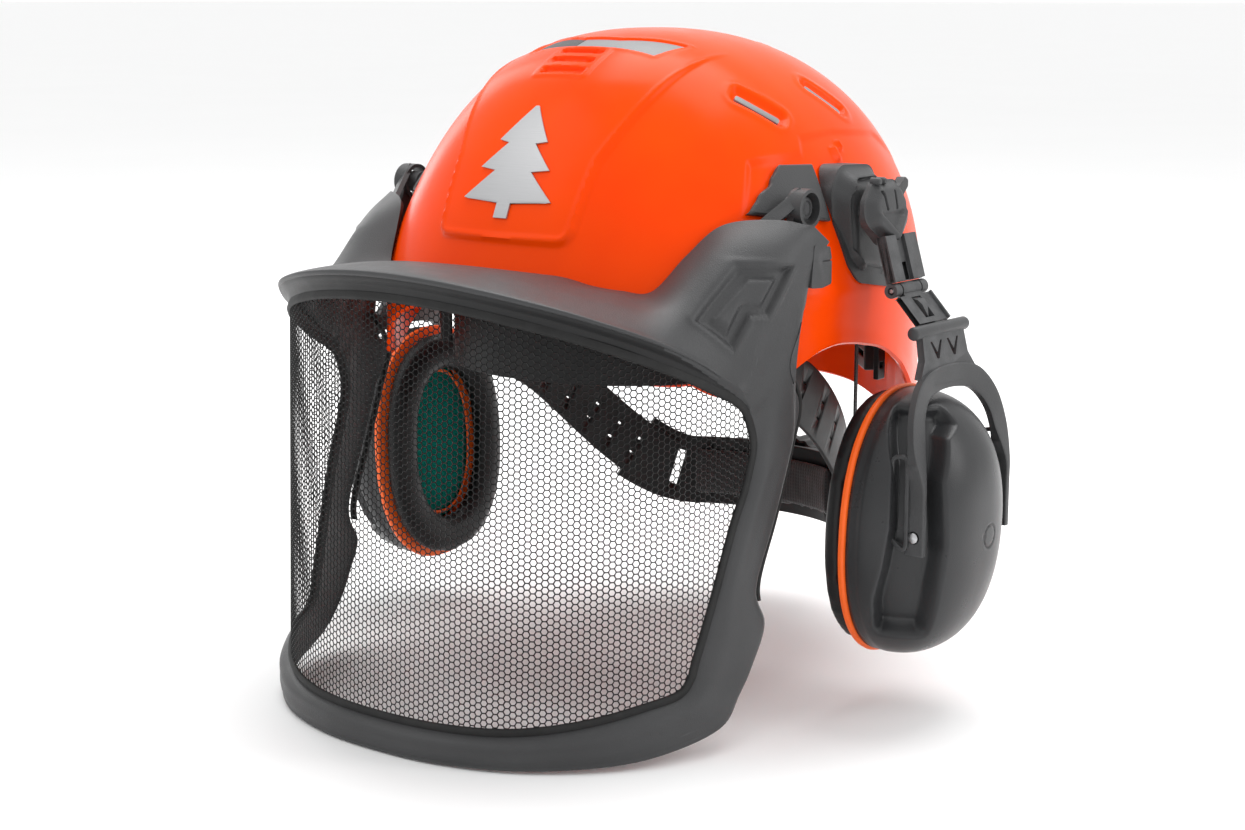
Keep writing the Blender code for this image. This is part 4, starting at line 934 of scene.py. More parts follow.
def brim_section(edge, end):
    """Seven points from the screen's edge over the lip to the shell."""
    u, z = edge
    fade = lip_fade(u)
    rise = LIP_RISE * (0.55 + 0.45 * fade)
    start = Vector(sheet_point(u, z))
    strip = Vector(sheet_point(u, z + rise * 0.45, 0.0014))
    crest = Vector(sheet_point(u, z + rise, 0.0012 + LIP_PROUD * (0.4 + 0.6 * fade)))
    back = Vector(sheet_point(u, z + rise * 1.22, LIP_PROUD * 0.25))
    end = off_shell(end, BRIM_GAP)
    flat = back.lerp(end, 0.5) + Vector((0, 0, 0.004 * fade))
    corner = Vector(sheet_point(0.97 * abs(u) + 0.005, end.z - 0.002, 0.0015))
    corner = Vector((max(corner.x, end.x), min(corner.y, end.y), corner.z))
    bend = flat.lerp(corner, 0.7 * float(smoothstep(0.095, 0.150, u)))
    points = [start, strip, crest, back]
    for t in (0.35, 0.7):
        points.append(back * (1 - t) ** 2 + bend * 2 * t * (1 - t) + end * t ** 2)
    return points + [end]


def rail_section(edge, end):
    """Seven points across a rail, from the screen's edge to its outer edge."""
    low = smoothstep(-0.085, -0.1035, end[1])
    proud = 0.0030 + 0.0014 * float(low)
    offs = (0.0, 0.55 * proud, proud, proud, proud, 0.8 * proud, 0.0006 + 0.0030 * float(low))
    shares = (0.0, 0.10, 0.26, 0.48, 0.70, 0.90, 1.0)
    return [Vector(sheet_point(edge[0] + (end[0] - edge[0]) * s,
                               edge[1] + (end[1] - edge[1]) * s, off))
            for s, off in zip(shares, offs)]


def frame_stations():
    """Seven-point sections once round the frame, from the top centre."""
    half = [brim_section(*station) for station in BRIM]
    half = half + [rail_section(*station) for station in RAIL]
    half = np.array([[tuple(p) for p in section] for section in half])
    other = half[1:-1][::-1] * np.array((-1.0, 1.0, 1.0))
    return np.concatenate([half, other])


def frame_positions():
    """Where the fine sections lie, counted in stations: closest together over the wings."""
    half = spread_steps(((4, 1 / 8), (11, 1 / 24), (26, 1 / 7)))
    full = 2 * (len(BRIM) + len(RAIL) - 1)
    return np.concatenate([half, full - half[-2:0:-1]])


def faired(grid, weight, rounds):
    """Evens out a grid of points where weight is 1; its first and last rows stay."""
    for _ in range(rounds):
        middle = (np.roll(grid, 1, axis=1) + np.roll(grid, -1, axis=1))[1:-1]
        middle = (middle + grid[:-2] + grid[2:]) / 4
        grid[1:-1] += 0.5 * weight[1:-1, :, None] * (middle - grid[1:-1])
    return grid


def frame_surface(at, rows):
    """The frame's outer surface: brim, wings and rails, with true corners at the wing tips."""
    stations = frame_stations()
    full = len(stations)
    station = np.minimum(at, full - at)
    first = np.floor(at).astype(int)
    share = (at - first)[:, None, None]
    straight = stations[first % full] * (1 - share) + stations[(first + 1) % full] * share
    round_way = smooth_curve(smooth_curve(stations, at, closed=True).transpose(1, 0, 2), rows)
    straight = smooth_curve(straight.transpose(1, 0, 2), rows)
    tip = smoothstep(8.3, 9.0, station) * (1 - smoothstep(11.0, 12.0, station))
    tip = (tip * smoothstep(4.0, 5.6, rows)[:, None])[..., None]
    outer = round_way * (1 - tip) + straight * tip
    for j in range(outer.shape[1]):
        if outer[-1, j, 1] > -0.125 and outer[-1, j, 2] > 0.070:
            shift = np.array(off_shell(outer[-1, j], BRIM_GAP)) - outer[-1, j]
            outer[:, j] += shift * smoothstep(4.5, 6.0, rows)[:, None]
    side = smoothstep(4.5, 6.5, station) * (1 - smoothstep(13, 15, station))
    end = smoothstep(8.0, 9.5, station) * (1 - smoothstep(13, 15, station))
    wing = side * smoothstep(3.0, 3.8, rows)[:, None]
    join = end * smoothstep(0.2, 0.8, rows)[:, None]
    return faired(outer, np.maximum(wing, join), 260), station


def frame_relief(outer, station, rows):
    """The ring-shaped pocket pressed into each wing, and the line under the lip."""
    x, y, z = np.abs(outer[..., 0]), outer[..., 1], outer[..., 2]
    pocket = polygon_depth(y, z, WING_POCKET)
    on_side = smoothstep(0.088, 0.096, x) * smoothstep(3.05, 3.30, rows)[:, None]
    relief = -WING_SUNK * smoothstep(-0.0007, 0.0012, pocket)
    relief = relief + 0.8 * WING_SUNK * smoothstep(0.0034, 0.0058, pocket)
    relief = relief + 0.0004 * np.exp(-((pocket + 0.0017) / 0.0011) ** 2)
    lines = np.exp(-((rows - 1.60) / 0.08) ** 2) + 0.5 * np.exp(-((rows - 0.90) / 0.10) ** 2)
    return relief * on_side - 0.0006 * lines[:, None] * (station < 7)


def make_visor_frame():
    """Brim, wings and rails in one piece; its inside is black, and the strip under the lip, which faces down,
    is painted black as painted shade on the grey part.
    """
    at = frame_positions()
    rows = spread_steps(((1, 1 / 6), (2, 1 / 8), (3, 1 / 8), (6, 1 / 20)))
    outer, station = frame_surface(at, rows)
    along = np.roll(outer, -1, axis=1) - np.roll(outer, 1, axis=1)
    normals = unit(np.cross(along, np.gradient(outer, axis=0)))
    if np.sum(normals[..., :2] * outer[..., :2]) < 0:
        normals = -normals
    width = 8
    padded = np.concatenate([normals[:1]] * width + [normals] + [normals[-1:]] * width)
    soft = unit(sum(padded[k:k + len(normals)] for k in range(2 * width + 1)))
    inner = (outer - soft * FRAME_WALL)[::-4]
    outer = outer + normals * frame_relief(outer, station, rows)[..., None]
    grid = np.concatenate([outer, inner])
    bm = grid_bm(grid, closed=True, wrap=True)
    visor = add_piece("visor_frame_body", bm, "frame_grey", "visor", "visor_frame", sharp=60)
    visor.data.materials.append(material("black_plastic"))
    # Painted shade: the strip under the lip takes the black finish; the inner faces are black as well.
    dark = np.zeros((len(grid), len(at)), np.int32)
    dark[:len(rows) - 1] = rows[:-1, None] < 1.6 * (1 - smoothstep(4.5, 9.5, station))
    dark[len(rows) - 1:] = station < 9
    visor.data.polygons.foreach_set("material_index", dark.ravel())


def screen_outline(inset, steps=6):
    """The screen's edge (u, z) as a smooth closed line, moved inwards by inset."""
    half = np.array([station[0] for station in BRIM + RAIL], float)
    loop = np.concatenate([half, half[-2:0:-1] * (-1, 1)])
    loop = smooth_curve(loop, np.arange(0, len(loop), 1 / steps), closed=True)
    along = unit(np.roll(loop, -1, axis=0) - np.roll(loop, 1, axis=0))
    return loop + np.stack([along[:, 1], -along[:, 0]], 1) * inset


def make_screen():
    """Hexagonal holes in a black sheet; each rib is a small roof, highest where cells meet."""
    edge = screen_outline(0.0013)
    row, column = np.meshgrid(np.arange(-45, 35), np.arange(-75, 76))
    u = HEX_PITCH * cos(radians(30)) * column
    z = HEX_PITCH * (row + 0.5 * (column % 2))
    keep = polygon_depth(u, z, edge) > 0
    centres = np.stack([u[keep], z[keep]], -1)
    turns = np.radians(60 * np.arange(6))
    spokes = np.stack([np.cos(turns), np.sin(turns)], -1)
    outer = centres[:, None] + spokes * HEX_PITCH / 2 / cos(radians(30))
    inner = centres[:, None] + spokes * (HEX_PITCH - HEX_RIB) / 2 / cos(radians(30))
    keyed = np.round(outer.reshape(-1, 2) * 1e6).astype(np.int64)
    _, first, index = np.unique(keyed, axis=0, return_index=True, return_inverse=True)
    shared = outer.reshape(-1, 2)[first]
    index = index.reshape(-1, 6)
    holes = len(shared) + np.arange(len(centres) * 6).reshape(-1, 6)
    flat = np.concatenate([shared, inner.reshape(-1, 2)])
    off = np.concatenate([np.full(len(shared), 0.0), np.full(len(centres) * 6, -0.00032)])
    points = sheet_point(flat[:, 0], flat[:, 1], off - 0.0001)
    after = (np.arange(6) + 1) % 6
    faces = np.stack([index, index[:, after], holes[:, after], holes], -1).reshape(-1, 4)
    mesh = bpy.data.meshes.new("hex_screen")
    mesh.from_pydata(points.tolist(), [], faces.tolist())
    screen = bpy.data.objects.new("hex_screen", mesh)
    bpy.context.scene.collection.objects.link(screen)
    finish(screen, "mesh_black", "visor", "visor_mesh")


def make_screen_rim():
    """The rubber lip between the screen and its frame."""
    loops = []
    for inset, off in ((-0.0007, -0.0010), (0.0014, -0.0014), (0.0026, -0.0010), (0.0029, -0.0002),
                       (0.0026, 0.0007), (0.0014, 0.0011), (-0.0007, 0.0004)):
        outline = screen_outline(inset)
        loops.append(sheet_point(outline[:, 0], outline[:, 1], off))
    add_piece("screen_rim", grid_bm(loops, closed=True, wrap=True), "black_rubber", "visor",
              "mesh_rim", sharp=60)


def make_edge_seal(name, side):
    """A soft strip along the upper part of a rail's outer edge."""
    ends = np.array([station[1] for station in RAIL[2:8]], float)
    line = smooth_curve(ends, np.linspace(0, len(ends) - 1.7, 61))
    section = rounded([(0.0009, -0.0022), (0.0029, -0.0022), (0.0029, 0.0004),
                       (0.0009, 0.0004)], 0.0006, 3)
    loops = [[tuple(sheet_point(u + a, z, off)) for a, off in section] for u, z in line]
    add_piece(f"rail_seal_{name}", grid_bm(loops, closed=True, caps=True), "black_rubber", "visor",
              f"edge_seal_{name}", side=side, sharp=50)


def make_visor_arm(name, side):
    """A lever with a tall ring round the pivot boss, and a flat strip running forward."""
    y, z = VISOR_PIVOT
    strip = capsule((y, z), (-0.0530, 0.0800), 0.0062, 0.0046)
    lever = new_object(f"visor_lever_{name}", prism_bm(strip, 0.1052, 0.1078))
    start, end = Vector((0.1085, y - 0.0010, z + 0.0062)), Vector((0.1000, -0.0640, 0.0955))
    along = (end - start).normalized()
    outward = Vector((0, 0, 1)).cross(along).normalized()
    across = (outward + along.cross(outward)).normalized()
    unite(lever, prism_bm(circle(0.0080, 48, (y, z)), 0.1040, 0.1112),
          slab_bm(start, along, across, along.cross(across), ((end - start).length, 0.0022, 0.0056)))
    carve(lever, prism_bm(circle(BOSS_RADIUS + 0.0018, 48, (y, z)), 0.100, 0.113))
    mirror_object(lever, side)
    bevel(lever, 0.0004, 3)
    finish(lever, "frame_grey", "visor", f"visor_arm_{name}")


def mirror_object(obj, side):
    if side < 0:
        obj.data.transform(Matrix.Scale(-1, 4, (1, 0, 0)))
        obj.data.flip_normals()
    return obj


def make_slide_block(name, side):
    """The catch under the wing's tip, with a notch in its face."""
    outline = rounded(SLIDE_BLOCK, 0.0014, 6)
    block = new_object(f"slide_block_body_{name}", prism_bm(outline, 0.1130, 0.1178))
    carve(block, slab_bm((0.1183, -0.0440, 0.0830), (0, 1, 0), (1, 0, 0), (0, 0, 1),
                         (0.0100, 0.0022, 0.0007)))
    mirror_object(block, side)
    bevel(block, 0.0006, 3)
    finish(block, "fitting_grey", "visor", f"slide_block_{name}")


# ---- fittings on the shell's sides ---------------------------------------------------------
def relief_bm(outline, middle, height, floor, rings=26, count=132):
    """A body over an outline in (y, z): height gives x on top, floor gives x at the back."""
    outline = resample(outline, count)
    middle = np.asarray(middle, float)
    shares = 1 - np.linspace(0, 1, rings + 1)[:-1] ** 1.35
    loops = [np.column_stack([np.broadcast_to(floor(*outline.T), len(outline)), outline])]
    for share in shares:
        flat = middle + (outline - middle) * share
        loops.append(np.column_stack([height(share, *flat.T), flat]))
    return grid_bm(loops, closed=True, end=(height(0.0, *middle), *middle),
                   start=(floor(*middle), *middle))


def make_pivot_plate(name, side):
    """A worn plate on the shell with the boss that the visor turns on."""
    corners = [np.array(p) for p in PIVOT_PLATE]
    u, v = np.meshgrid(np.linspace(0, 1, 30), np.linspace(0, 1, 30))
    low_side = corners[0] * (1 - u[..., None]) + corners[1] * u[..., None]
    high_side = corners[3] * (1 - u[..., None]) + corners[2] * u[..., None]
    spots = low_side * (1 - v[..., None]) + high_side * v[..., None]
    y = spots[..., 0] + (0.0006 * np.sin(v * 13) + 0.0003 * np.sin(v * 23 + 1)) * (1 - u) ** 2
    edge = np.minimum(np.minimum(u, 1 - u), np.minimum(v, 1 - v))
    top = side_point(y, spots[..., 1], 0.0024 - 0.0008 * (edge < 0.01))
    bottom = side_point(y, spots[..., 1], 0.0001)
    rim_top = np.concatenate([top[0], top[1:, -1], top[-1, -2::-1], top[-2:0:-1, 0]])
    rim_low = np.concatenate([bottom[0], bottom[1:, -1], bottom[-1, -2::-1], bottom[-2:0:-1, 0]])
    skirt = grid_bm([rim_low, rim_top], closed=True)
    y, z = VISOR_PIVOT
    boss = turned_bm(((0.0001, 0.1006), (BOSS_RADIUS, 0.1006), (BOSS_RADIUS, 0.1086),
                      (BOSS_RADIUS - 0.0005, 0.1091), (BOSS_RADIUS - 0.0014, 0.1092),
                      (BOSS_RADIUS - 0.0018, 0.1086), (0.0009, 0.1085), (0.0001, 0.1083)),
                     (y, z), "X")
    add_piece(f"pivot_plate_body_{name}", join_bm(grid_bm(top), grid_bm(bottom), skirt, boss),
              "fitting_grey", "helmet", f"visor_pivot_plate_{name}", side=side)


def make_slot_housing(name, side):
    """The grained pad behind the arm, hollowed where the arm's cover turns."""
    slot = rounded(HOUSING_SLOT, 0.0050, 6)

    def height(share, y, z):
        edge = 0.0115 * smoothstep(0.50, 1.0, share) ** 1.7
        hollow = smoothstep(-0.0004, 0.0012, polygon_depth(y, z, slot))
        return 0.1165 - edge - 0.0036 * hollow

    def floor(y, z):
        return side_point(y, z, 0.0001)[..., 0]

    bm = relief_bm(rounded(HOUSING, 0.0085, 10), (0.0, 0.0930), height, floor, 60, 200)
    add_piece(f"slot_housing_body_{name}", bm, "fitting_grey", "helmet", f"slot_housing_{name}",
              side=side, sharp=60)


# ---- muff arms -----------------------------------------------------------------------------
def knee_direction():
    """Along the lower arm, and outward from it."""
    along = Vector(TEE) - Vector(KNEE)
    along.y = 0.0
    along.normalize()
    return along, Vector((-along.z, 0.0, along.x))


def line_distance(y, z, a, b):
    """Distance from points to the line between a and b."""
    dy, dz = b[0] - a[0], b[1] - a[1]
    t = np.clip(((y - a[0]) * dy + (z - a[1]) * dz) / (dy * dy + dz * dz), 0, 1)
    return np.hypot(y - a[0] - t * dy, z - a[1] - t * dz)


def make_arm_cover(name, side):
    """The shield over the hub: two slits above a V-shaped ridge, and a latch tab behind."""
    y0 = HUB[1]

    def height(share, y, z):
        top = 0.1248 + 0.0034 * smoothstep(0.1020, 0.0870, z)
        top = top - 0.0042 * smoothstep(0.62, 1.0, share) ** 1.7 + 0.0010 * (1 - share ** 2)
        ridge = 0.0
        for way in (-1, 1):
            near = line_distance(y, z, (y0 + way * 0.0100, 0.0995), (y0, 0.0905))
            ridge = np.maximum(ridge, np.exp(-(near / 0.0013) ** 2))
            slit = line_distance(y, z, (y0 + way * 0.0036 - 0.0010, 0.1015),
                                 (y0 + way * 0.0042 - 0.0030, 0.1085))
            top = top - 0.0020 * (1 - smoothstep(0.00030, 0.00070, slit))
        over_v = z - 0.0905 - 0.9 * np.abs(y - y0)
        dish = smoothstep(0.0008, 0.0028, over_v) * (1 - smoothstep(0.0985, 0.1015, z))
        return top + 0.0008 * ridge - 0.0013 * dish

    outline = rounded([(y0 + a, b) for a, b in SHIELD], 0.0068, 10)
    bm = relief_bm(outline, (y0, 0.0992), height, lambda y, z: HUB[0], 60, 200)
    arm = f"arm_{SIDE_NAMES[name]}"
    add_piece(f"arm_shield_{name}", bm, "fitting_grey", arm, f"arm_cover_{name}",
              side=side, sharp=60)
    hook = rounded([(y0 + a, b) for a, b in LATCH], 0.0012, 4)
    tab = add_piece(f"arm_latch_{name}", prism_bm(hook, 0.1192, 0.1236), "fitting_grey", arm,
                    side=side)
    bevel(tab, 0.0005, 3)
    bumps = [turned_bm(((0.0016, 0.1190), (0.0016, 0.1225), (0.0010, 0.1235), (0.0003, 0.1237)),
                       (y0 + shift, 0.1128), "X", 24) for shift in (-0.0072, -0.0030)]
    add_piece(f"arm_bumps_{name}", join_bm(*bumps), "fitting_grey", arm, side=side)


def hinge_bore_bm():
    """The hole through the knuckles that the hinge pin lies in."""
    knee = Vector(KNEE)
    return prism_bm(circle(HINGE_BORE, 24, (knee.x, knee.z)), knee.y - 0.02, knee.y + 0.02, "Y")


def make_arm_upper(name, side):
    """A plate with two raised panels, a groove between them, and knuckles at the hinge."""
    across = Vector((0, 1, 0))
    y = HUB[1]
    knee = Vector(KNEE)
    top = Vector((ARM_TOP[0], y, ARM_TOP[1]))
    along = (knee - top).normalized()
    out = Vector((-along.z, 0.0, along.x))
    length = (knee - top).length
    upper = new_object(f"arm_channel_{name}", slab_bm(top, along, across, out,
                                                       (length - 0.0032, ARM_WIDTH, 0.0018)))
    for k in (-1, 1):
        panel = top + across * k * 0.0079 + out * 0.0012
        unite(upper, slab_bm(panel, along, across, out, (length - 0.0034, 0.0092, 0.0026)))
        low, high = sorted((knee.y + k * (ARM_WIDTH / 2 - 0.0046), knee.y + k * ARM_WIDTH / 2))
        unite(upper, prism_bm(circle(KNUCKLE_RADIUS, 32, (knee.x, knee.z)), low, high, "Y"))
    rail = top - across * (ARM_WIDTH / 2 - 0.0007) + out * 0.0010
    key = top + out * 0.0009 + along * (length - 0.0110)
    unite(upper, slab_bm(rail, along, across, out, (length - 0.0030, 0.0014, 0.0046)),
          slab_bm(key, along, across, out, (0.0074, 0.0046, 0.0026)))
    carve(upper, hinge_bore_bm())
    mirror_object(upper, side)
    bevel(upper, 0.00035, 2)
    arm = f"arm_{SIDE_NAMES[name]}"
    finish(upper, "fitting_grey", arm, f"arm_upper_{name}")
    profile = ((0.0008, knee.y - 0.0121), (HINGE_PIN, knee.y - 0.0117),
               (HINGE_PIN, knee.y + 0.0117), (0.0008, knee.y + 0.0121))
    add_piece(f"hinge_pin_{name}", turned_bm(profile, (knee.x, knee.z), "Y", 32), "steel", arm,
              f"arm_hinge_pin_{name}", side=side)


def make_arm_lower(name, side):
    """The plate below the hinge, with the window that its pointed wedge shows through."""
    body = f"lower_arm_{SIDE_NAMES[name]}"
    knee = Vector(KNEE)
    across = Vector((0, 1, 0))
    along, out = knee_direction()
    width = ARM_WIDTH - 0.0110
    lower = new_object(f"arm_plate_{name}", slab_bm(knee + along * 0.0040, along, across, out,
                                                    (0.0140, ARM_WIDTH, 0.0024)))
    edge = knee + along * 0.0040 + out * 0.0008
    unite(lower, slab_bm(knee + along * 0.0012, along, across, out, (0.0040, width, 0.0024)),
          prism_bm(circle(KNUCKLE_RADIUS, 32, (knee.x, knee.z)), knee.y - width / 2,
                   knee.y + width / 2, "Y"),
          slab_bm(edge - across * (ARM_WIDTH / 2 - 0.0007), along, across, out,
                  (0.0140, 0.0014, 0.0040)),
          slab_bm(edge + across * (ARM_WIDTH / 2 - 0.0005), along, across, out,
                  (0.0140, 0.0010, 0.0030)))
    carve(lower, hinge_bore_bm(),
          slab_bm(knee + along * 0.0050, along, across, out, (0.0106, 0.0070, 0.0080)))
    mirror_object(lower, side)
    bevel(lower, 0.0003, 2)
    finish(lower, "fitting_grey", body, f"arm_lower_{name}")
    start = knee + along * 0.0053
    loops = []
    for share, high, half in ((0.0, 0.0006, 0.0026), (0.22, 0.0024, 0.0027), (0.5, 0.0027, 0.0022),
                              (1.0, 0.0006, 0.0003)):
        here = start + along * 0.0096 * share
        loops.append([here + across * half * a + out * (b * high if b > 0 else -0.0010)
                      for a, b in ((-1, -1), (1, -1), (1, 1), (-1, 1))])
    wedge = add_piece(f"arm_wedge_{name}", grid_bm(loops, closed=True, caps=True), "fitting_grey",
                      body, f"arm_spring_{name}", side=side)
    bevel(wedge, 0.0002, 2)


def make_yoke(name, side):
    """A flat arch below a tee bar, its neck slotted; its legs turn edge-on beside the cup."""
    x, y, z = CUP_PIVOT
    path = [(x, LEG_SPREAD, z - 0.0075), (x, LEG_SPREAD, z), (x, LEG_SPREAD, z + 0.012),
            (x, LEG_SPREAD, z + 0.024), (x - 0.0010, LEG_SPREAD * 0.97, z + 0.036),
            (x - 0.0034, LEG_SPREAD * 0.86, z + 0.048), (x - 0.0060, LEG_SPREAD * 0.60, z + 0.0570),
            (x - 0.0076, LEG_SPREAD * 0.22, z + 0.0600)]
    path = path + [(a, -b, c) for a, b, c in path[::-1]]
    at = np.linspace(0, len(path) - 1, 121)
    line = smooth_curve(path, at) + np.array((0, y, 0))
    tangents = unit(np.gradient(line, axis=0))
    ins, outs = [], []
    for along in tangents:
        ins.append(Vector((0, -along[2], along[1])).normalized())
        outs.append(Vector(along).cross(ins[-1]).normalized())
    flat = smoothstep(2.4, 4.2, np.minimum(at, len(path) - 1 - at))
    sizes = np.stack([1 + flat * 2.3, 1 - flat * 0.62], -1)
    section = rounded_section(LEG_THICK, LEG_BROAD, 0.0007)
    yoke = new_object(f"yoke_body_{name}", sweep_bm(line, ins, outs, section, sizes=sizes))
    bar = ((0.0018, y - 0.0212), (0.0025, y - 0.0208), (0.0028, y - 0.0200), (0.0028, y + 0.0200),
           (0.0025, y + 0.0208), (0.0018, y + 0.0212))
    neck = prism_bm([(y + a, TEE[2] + b) for a, b in YOKE_NECK], TEE[0] - 0.0014, TEE[0] + 0.0018)
    slots = [prism_bm([(middle + a, TEE[2] + b) for a, b in YOKE_SLOT], TEE[0] - 0.01, TEE[0] + 0.01)
             for middle in (y - YOKE_SLOT_SHIFT, y + YOKE_SLOT_SHIFT)]
    for bm in [neck] + slots:
        for vert in bm.verts:
            vert.co.x += YOKE_NECK_LEAN * (TEE[2] - vert.co.z)
    along, out = knee_direction()
    foot = Vector(TEE) - out * 0.0031 + along * 0.001
    unite(yoke, neck, turned_bm(bar, (TEE[0], TEE[2]), "Y", 40),
          slab_bm(foot, -along, Vector((0, 1, 0)), out, (0.0160, 0.0100, 0.0018)))
    carve(yoke, *slots)
    carve(yoke, prism_bm(circle(PIN_RADIUS + GAP, 32, (x, z)), y - 0.06, y + 0.06, "Y"))
    mirror_object(yoke, side)
    bevel(yoke, 0.0003, 2, 40)
    finish(yoke, "fitting_grey", f"fork_{SIDE_NAMES[name]}", f"yoke_{name}")
    make_leg_clips(name, side)


def make_leg_clips(name, side):
    """The thin loop beside each leg end, on the head's side of it."""
    x, y, z = CUP_PIVOT
    parts = []
    for way, shift in ((-1, 0.0020), (1, 0.0016)):
        plane = y + way * (LEG_SPREAD + shift)
        inner = x - LEG_BROAD / 2 - 0.0068
        corners = rounded([(x - 0.0030, z - 0.0072), (x - 0.0030, z + 0.0330),
                           (inner + 0.0012, z + 0.0320), (inner, z - 0.0010)], 0.0026, 6)
        loop = resample(corners, 72)
        tangent = unit(np.roll(loop, -1, axis=0) - np.roll(loop, 1, axis=0))
        centres = [(a, plane, b) for a, b in loop]
        outs = [(t[1], 0.0, -t[0]) for t in tangent]
        ups = [(0.0, 1.0, 0.0)] * len(loop)
        parts.append(sweep_bm(centres, outs, ups, rounded_section(0.0018, 0.0016, 0.0005), True))
    add_piece(f"yoke_clips_{name}", join_bm(*parts), "fitting_grey", f"fork_{SIDE_NAMES[name]}",
              side=side, sharp=50)


# ---- ear muffs -----------------------------------------------------------------------------
def muff_point(depth, back, up):
    """Local to world: depth away from the head, back along the head, and up."""
    lean = radians(MUFF_TILT)
    x, y, z = MUFF_CENTRE
    return np.stack([x + depth * cos(lean) + up * sin(lean), y + back + 0 * depth,
                     z - depth * sin(lean) + up * cos(lean)], -1)


def muff_loop(depth, length=1.0, height=None, steps=128):
    height = length if height is None else height
    turns = np.linspace(0, 2 * pi, steps, endpoint=False)
    return muff_point(np.full(steps, depth),
                      CUP_HALF_LENGTH * length * spow(np.cos(turns), 2 / CUP_PLAN),
                      CUP_HALF_HEIGHT * height * spow(np.sin(turns), 2 / CUP_PLAN))


def groove(depth, back, up):
    """How far the front leg's channel is sunk at a point of the cup."""
    turn = np.degrees(np.arctan2(depth / CUP_DEPTH, -back / CUP_HALF_LENGTH))
    left = np.interp(up, (-0.026, -0.011, 0.006, 0.030, 0.046), (20, 25, 28, 27, 20))
    right = np.interp(up, (-0.018, 0.0, 0.025, 0.041, 0.0455), (53, 55, 52, 60, 74))
    inside = smoothstep(left - 3, left + 3, turn) * (1 - smoothstep(right - 4, right + 5, turn))
    ends = smoothstep(-0.043, -0.035, up) * (1 - smoothstep(0.046, 0.053, up))
    return GROOVE_DEPTH * inside * ends


def cup_points():
    """The cup's outer surface: groove, raised dome beside it, and a small round detail."""
    turns = np.linspace(0, 2 * pi, 264, endpoint=False)
    climb = np.radians(np.linspace(0, 89.3, 108))[:, None]
    share = np.sin(climb) ** (2 / CUP_PROFILE)
    k = np.cos(climb) ** (2 / CUP_PROFILE)
    depth = CUP_DEPTH * share + 0 * turns
    back = CUP_HALF_LENGTH * k * spow(np.cos(turns), 2 / CUP_PLAN)
    up = CUP_HALF_HEIGHT * k * spow(np.sin(turns), 2 / CUP_PLAN)
    inward = np.stack([depth / CUP_DEPTH ** 2, back / CUP_HALF_LENGTH ** 2], -1)
    inward = unit(inward)
    sunk = groove(depth, back, up)
    step_band = smoothstep(0.10, 0.16, share) * 0.0006
    disc = np.hypot(back - 0.0060, up + 0.0010)
    ring_mark = 0.00045 * np.exp(-((disc - 0.0047) / 0.0004) ** 2) * (share > 0.5)
    sunk = sunk + ring_mark - step_band + 0.0006
    return muff_point(depth - inward[..., 0] * sunk, back - inward[..., 1] * sunk, up)


def make_cup(name, side):
    """The hollow outer cup."""
    grid = cup_points()
    bm = grid_bm(grid, closed=True, end=muff_point(np.array(CUP_DEPTH), 0.0, 0.0))
    cup = add_piece(f"cup_body_{name}", bm, "cup_grey", f"muff_{SIDE_NAMES[name]}", f"cup_{name}",
                    side=side, sharp=50)
    solidify(cup, CUP_WALL)


def make_backplate(name, side):
    """The orange plate; its rim shows as a thin line, its lip round the foam."""
    inner = -PLATE_THICK - GAP
    loops = [muff_loop(-GAP, 1.0), muff_loop(-GAP, 0.60, 0.70), muff_loop(inner * 0.5, 0.60, 0.70),
             muff_loop(inner, 0.60, 0.70), muff_loop(inner, 0.99), muff_loop(inner * 0.86, 1.012),
             muff_loop(inner * 0.5, 1.018), muff_loop(inner * 0.22, 1.012)]
    add_piece(f"ring_plate_{name}", grid_bm(loops, closed=True, wrap=True), "ring_orange",
              f"muff_{SIDE_NAMES[name]}", f"backplate_{name}", side=side, sharp=50)


def cushion_bm(swell):
    """The cushion's ring; swell moves its surface out, as a share of the way to full."""
    top = -PLATE_THICK - 2 * GAP
    face = -CUSHION_DEPTH
    keys = [(top, 0.935, 0.945), (top, 0.74, 0.79), (top, 0.60, 0.685), (top * 0.7 + face * 0.3, 0.545, 0.64),
            (top * 0.3 + face * 0.7, 0.54, 0.635), (face * 0.96 + top * 0.04, 0.60, 0.68),
            (face, 0.73, 0.79), (face * 0.96 + top * 0.04, 0.86, 0.89),
            (face * 0.75 + top * 0.25, 0.945, 0.955), (top * 0.4 + face * 0.6, 0.975, 0.978),
            (top * 0.8 + face * 0.2, 0.965, 0.97)]
    middle = np.array(((top + face) / 2, 0.76, 0.815))
    keys = middle + (np.array(keys) - middle) * swell
    fine = smooth_curve(keys, np.arange(0, len(keys), 0.25), closed=True)
    return grid_bm([muff_loop(*row, steps=96) for row in fine], closed=True, wrap=True)


def simulate(obj, voxel, pressure, cap, frames):
    """Fills a padded piece by cloth simulation, and keeps every point near its start."""
    mod = obj.modifiers.new("remesh", "REMESH")
    mod.mode = "VOXEL"
    mod.voxel_size = voxel
    apply_modifiers(obj)
    rest = np.array([v.co for v in obj.data.vertices], float)
    cloth = obj.modifiers.new("cloth", "CLOTH")
    cloth.settings.use_pressure = True
    cloth.settings.uniform_pressure_force = pressure
    cloth.settings.effector_weights.gravity = 0.0
    cloth.settings.mass = 0.2
    scene = bpy.context.scene
    for number in range(1, frames + 1):
        scene.frame_set(number)
    apply_modifiers(obj)
    moved = np.array([v.co for v in obj.data.vertices], float)
    shift = moved - rest
    size = np.linalg.norm(shift, axis=1, keepdims=True)
    moved = rest + shift * np.minimum(1.0, cap / np.maximum(size, 1e-9))
    obj.data.vertices.foreach_set("co", moved.astype(np.float32).ravel())
    scene.frame_set(1)


def smooth_once(obj):
    mod = obj.modifiers.new("smooth", "SUBSURF")
    mod.levels = 1
    mod.render_levels = 1
    apply_modifiers(obj)
    obj.data.shade_smooth()


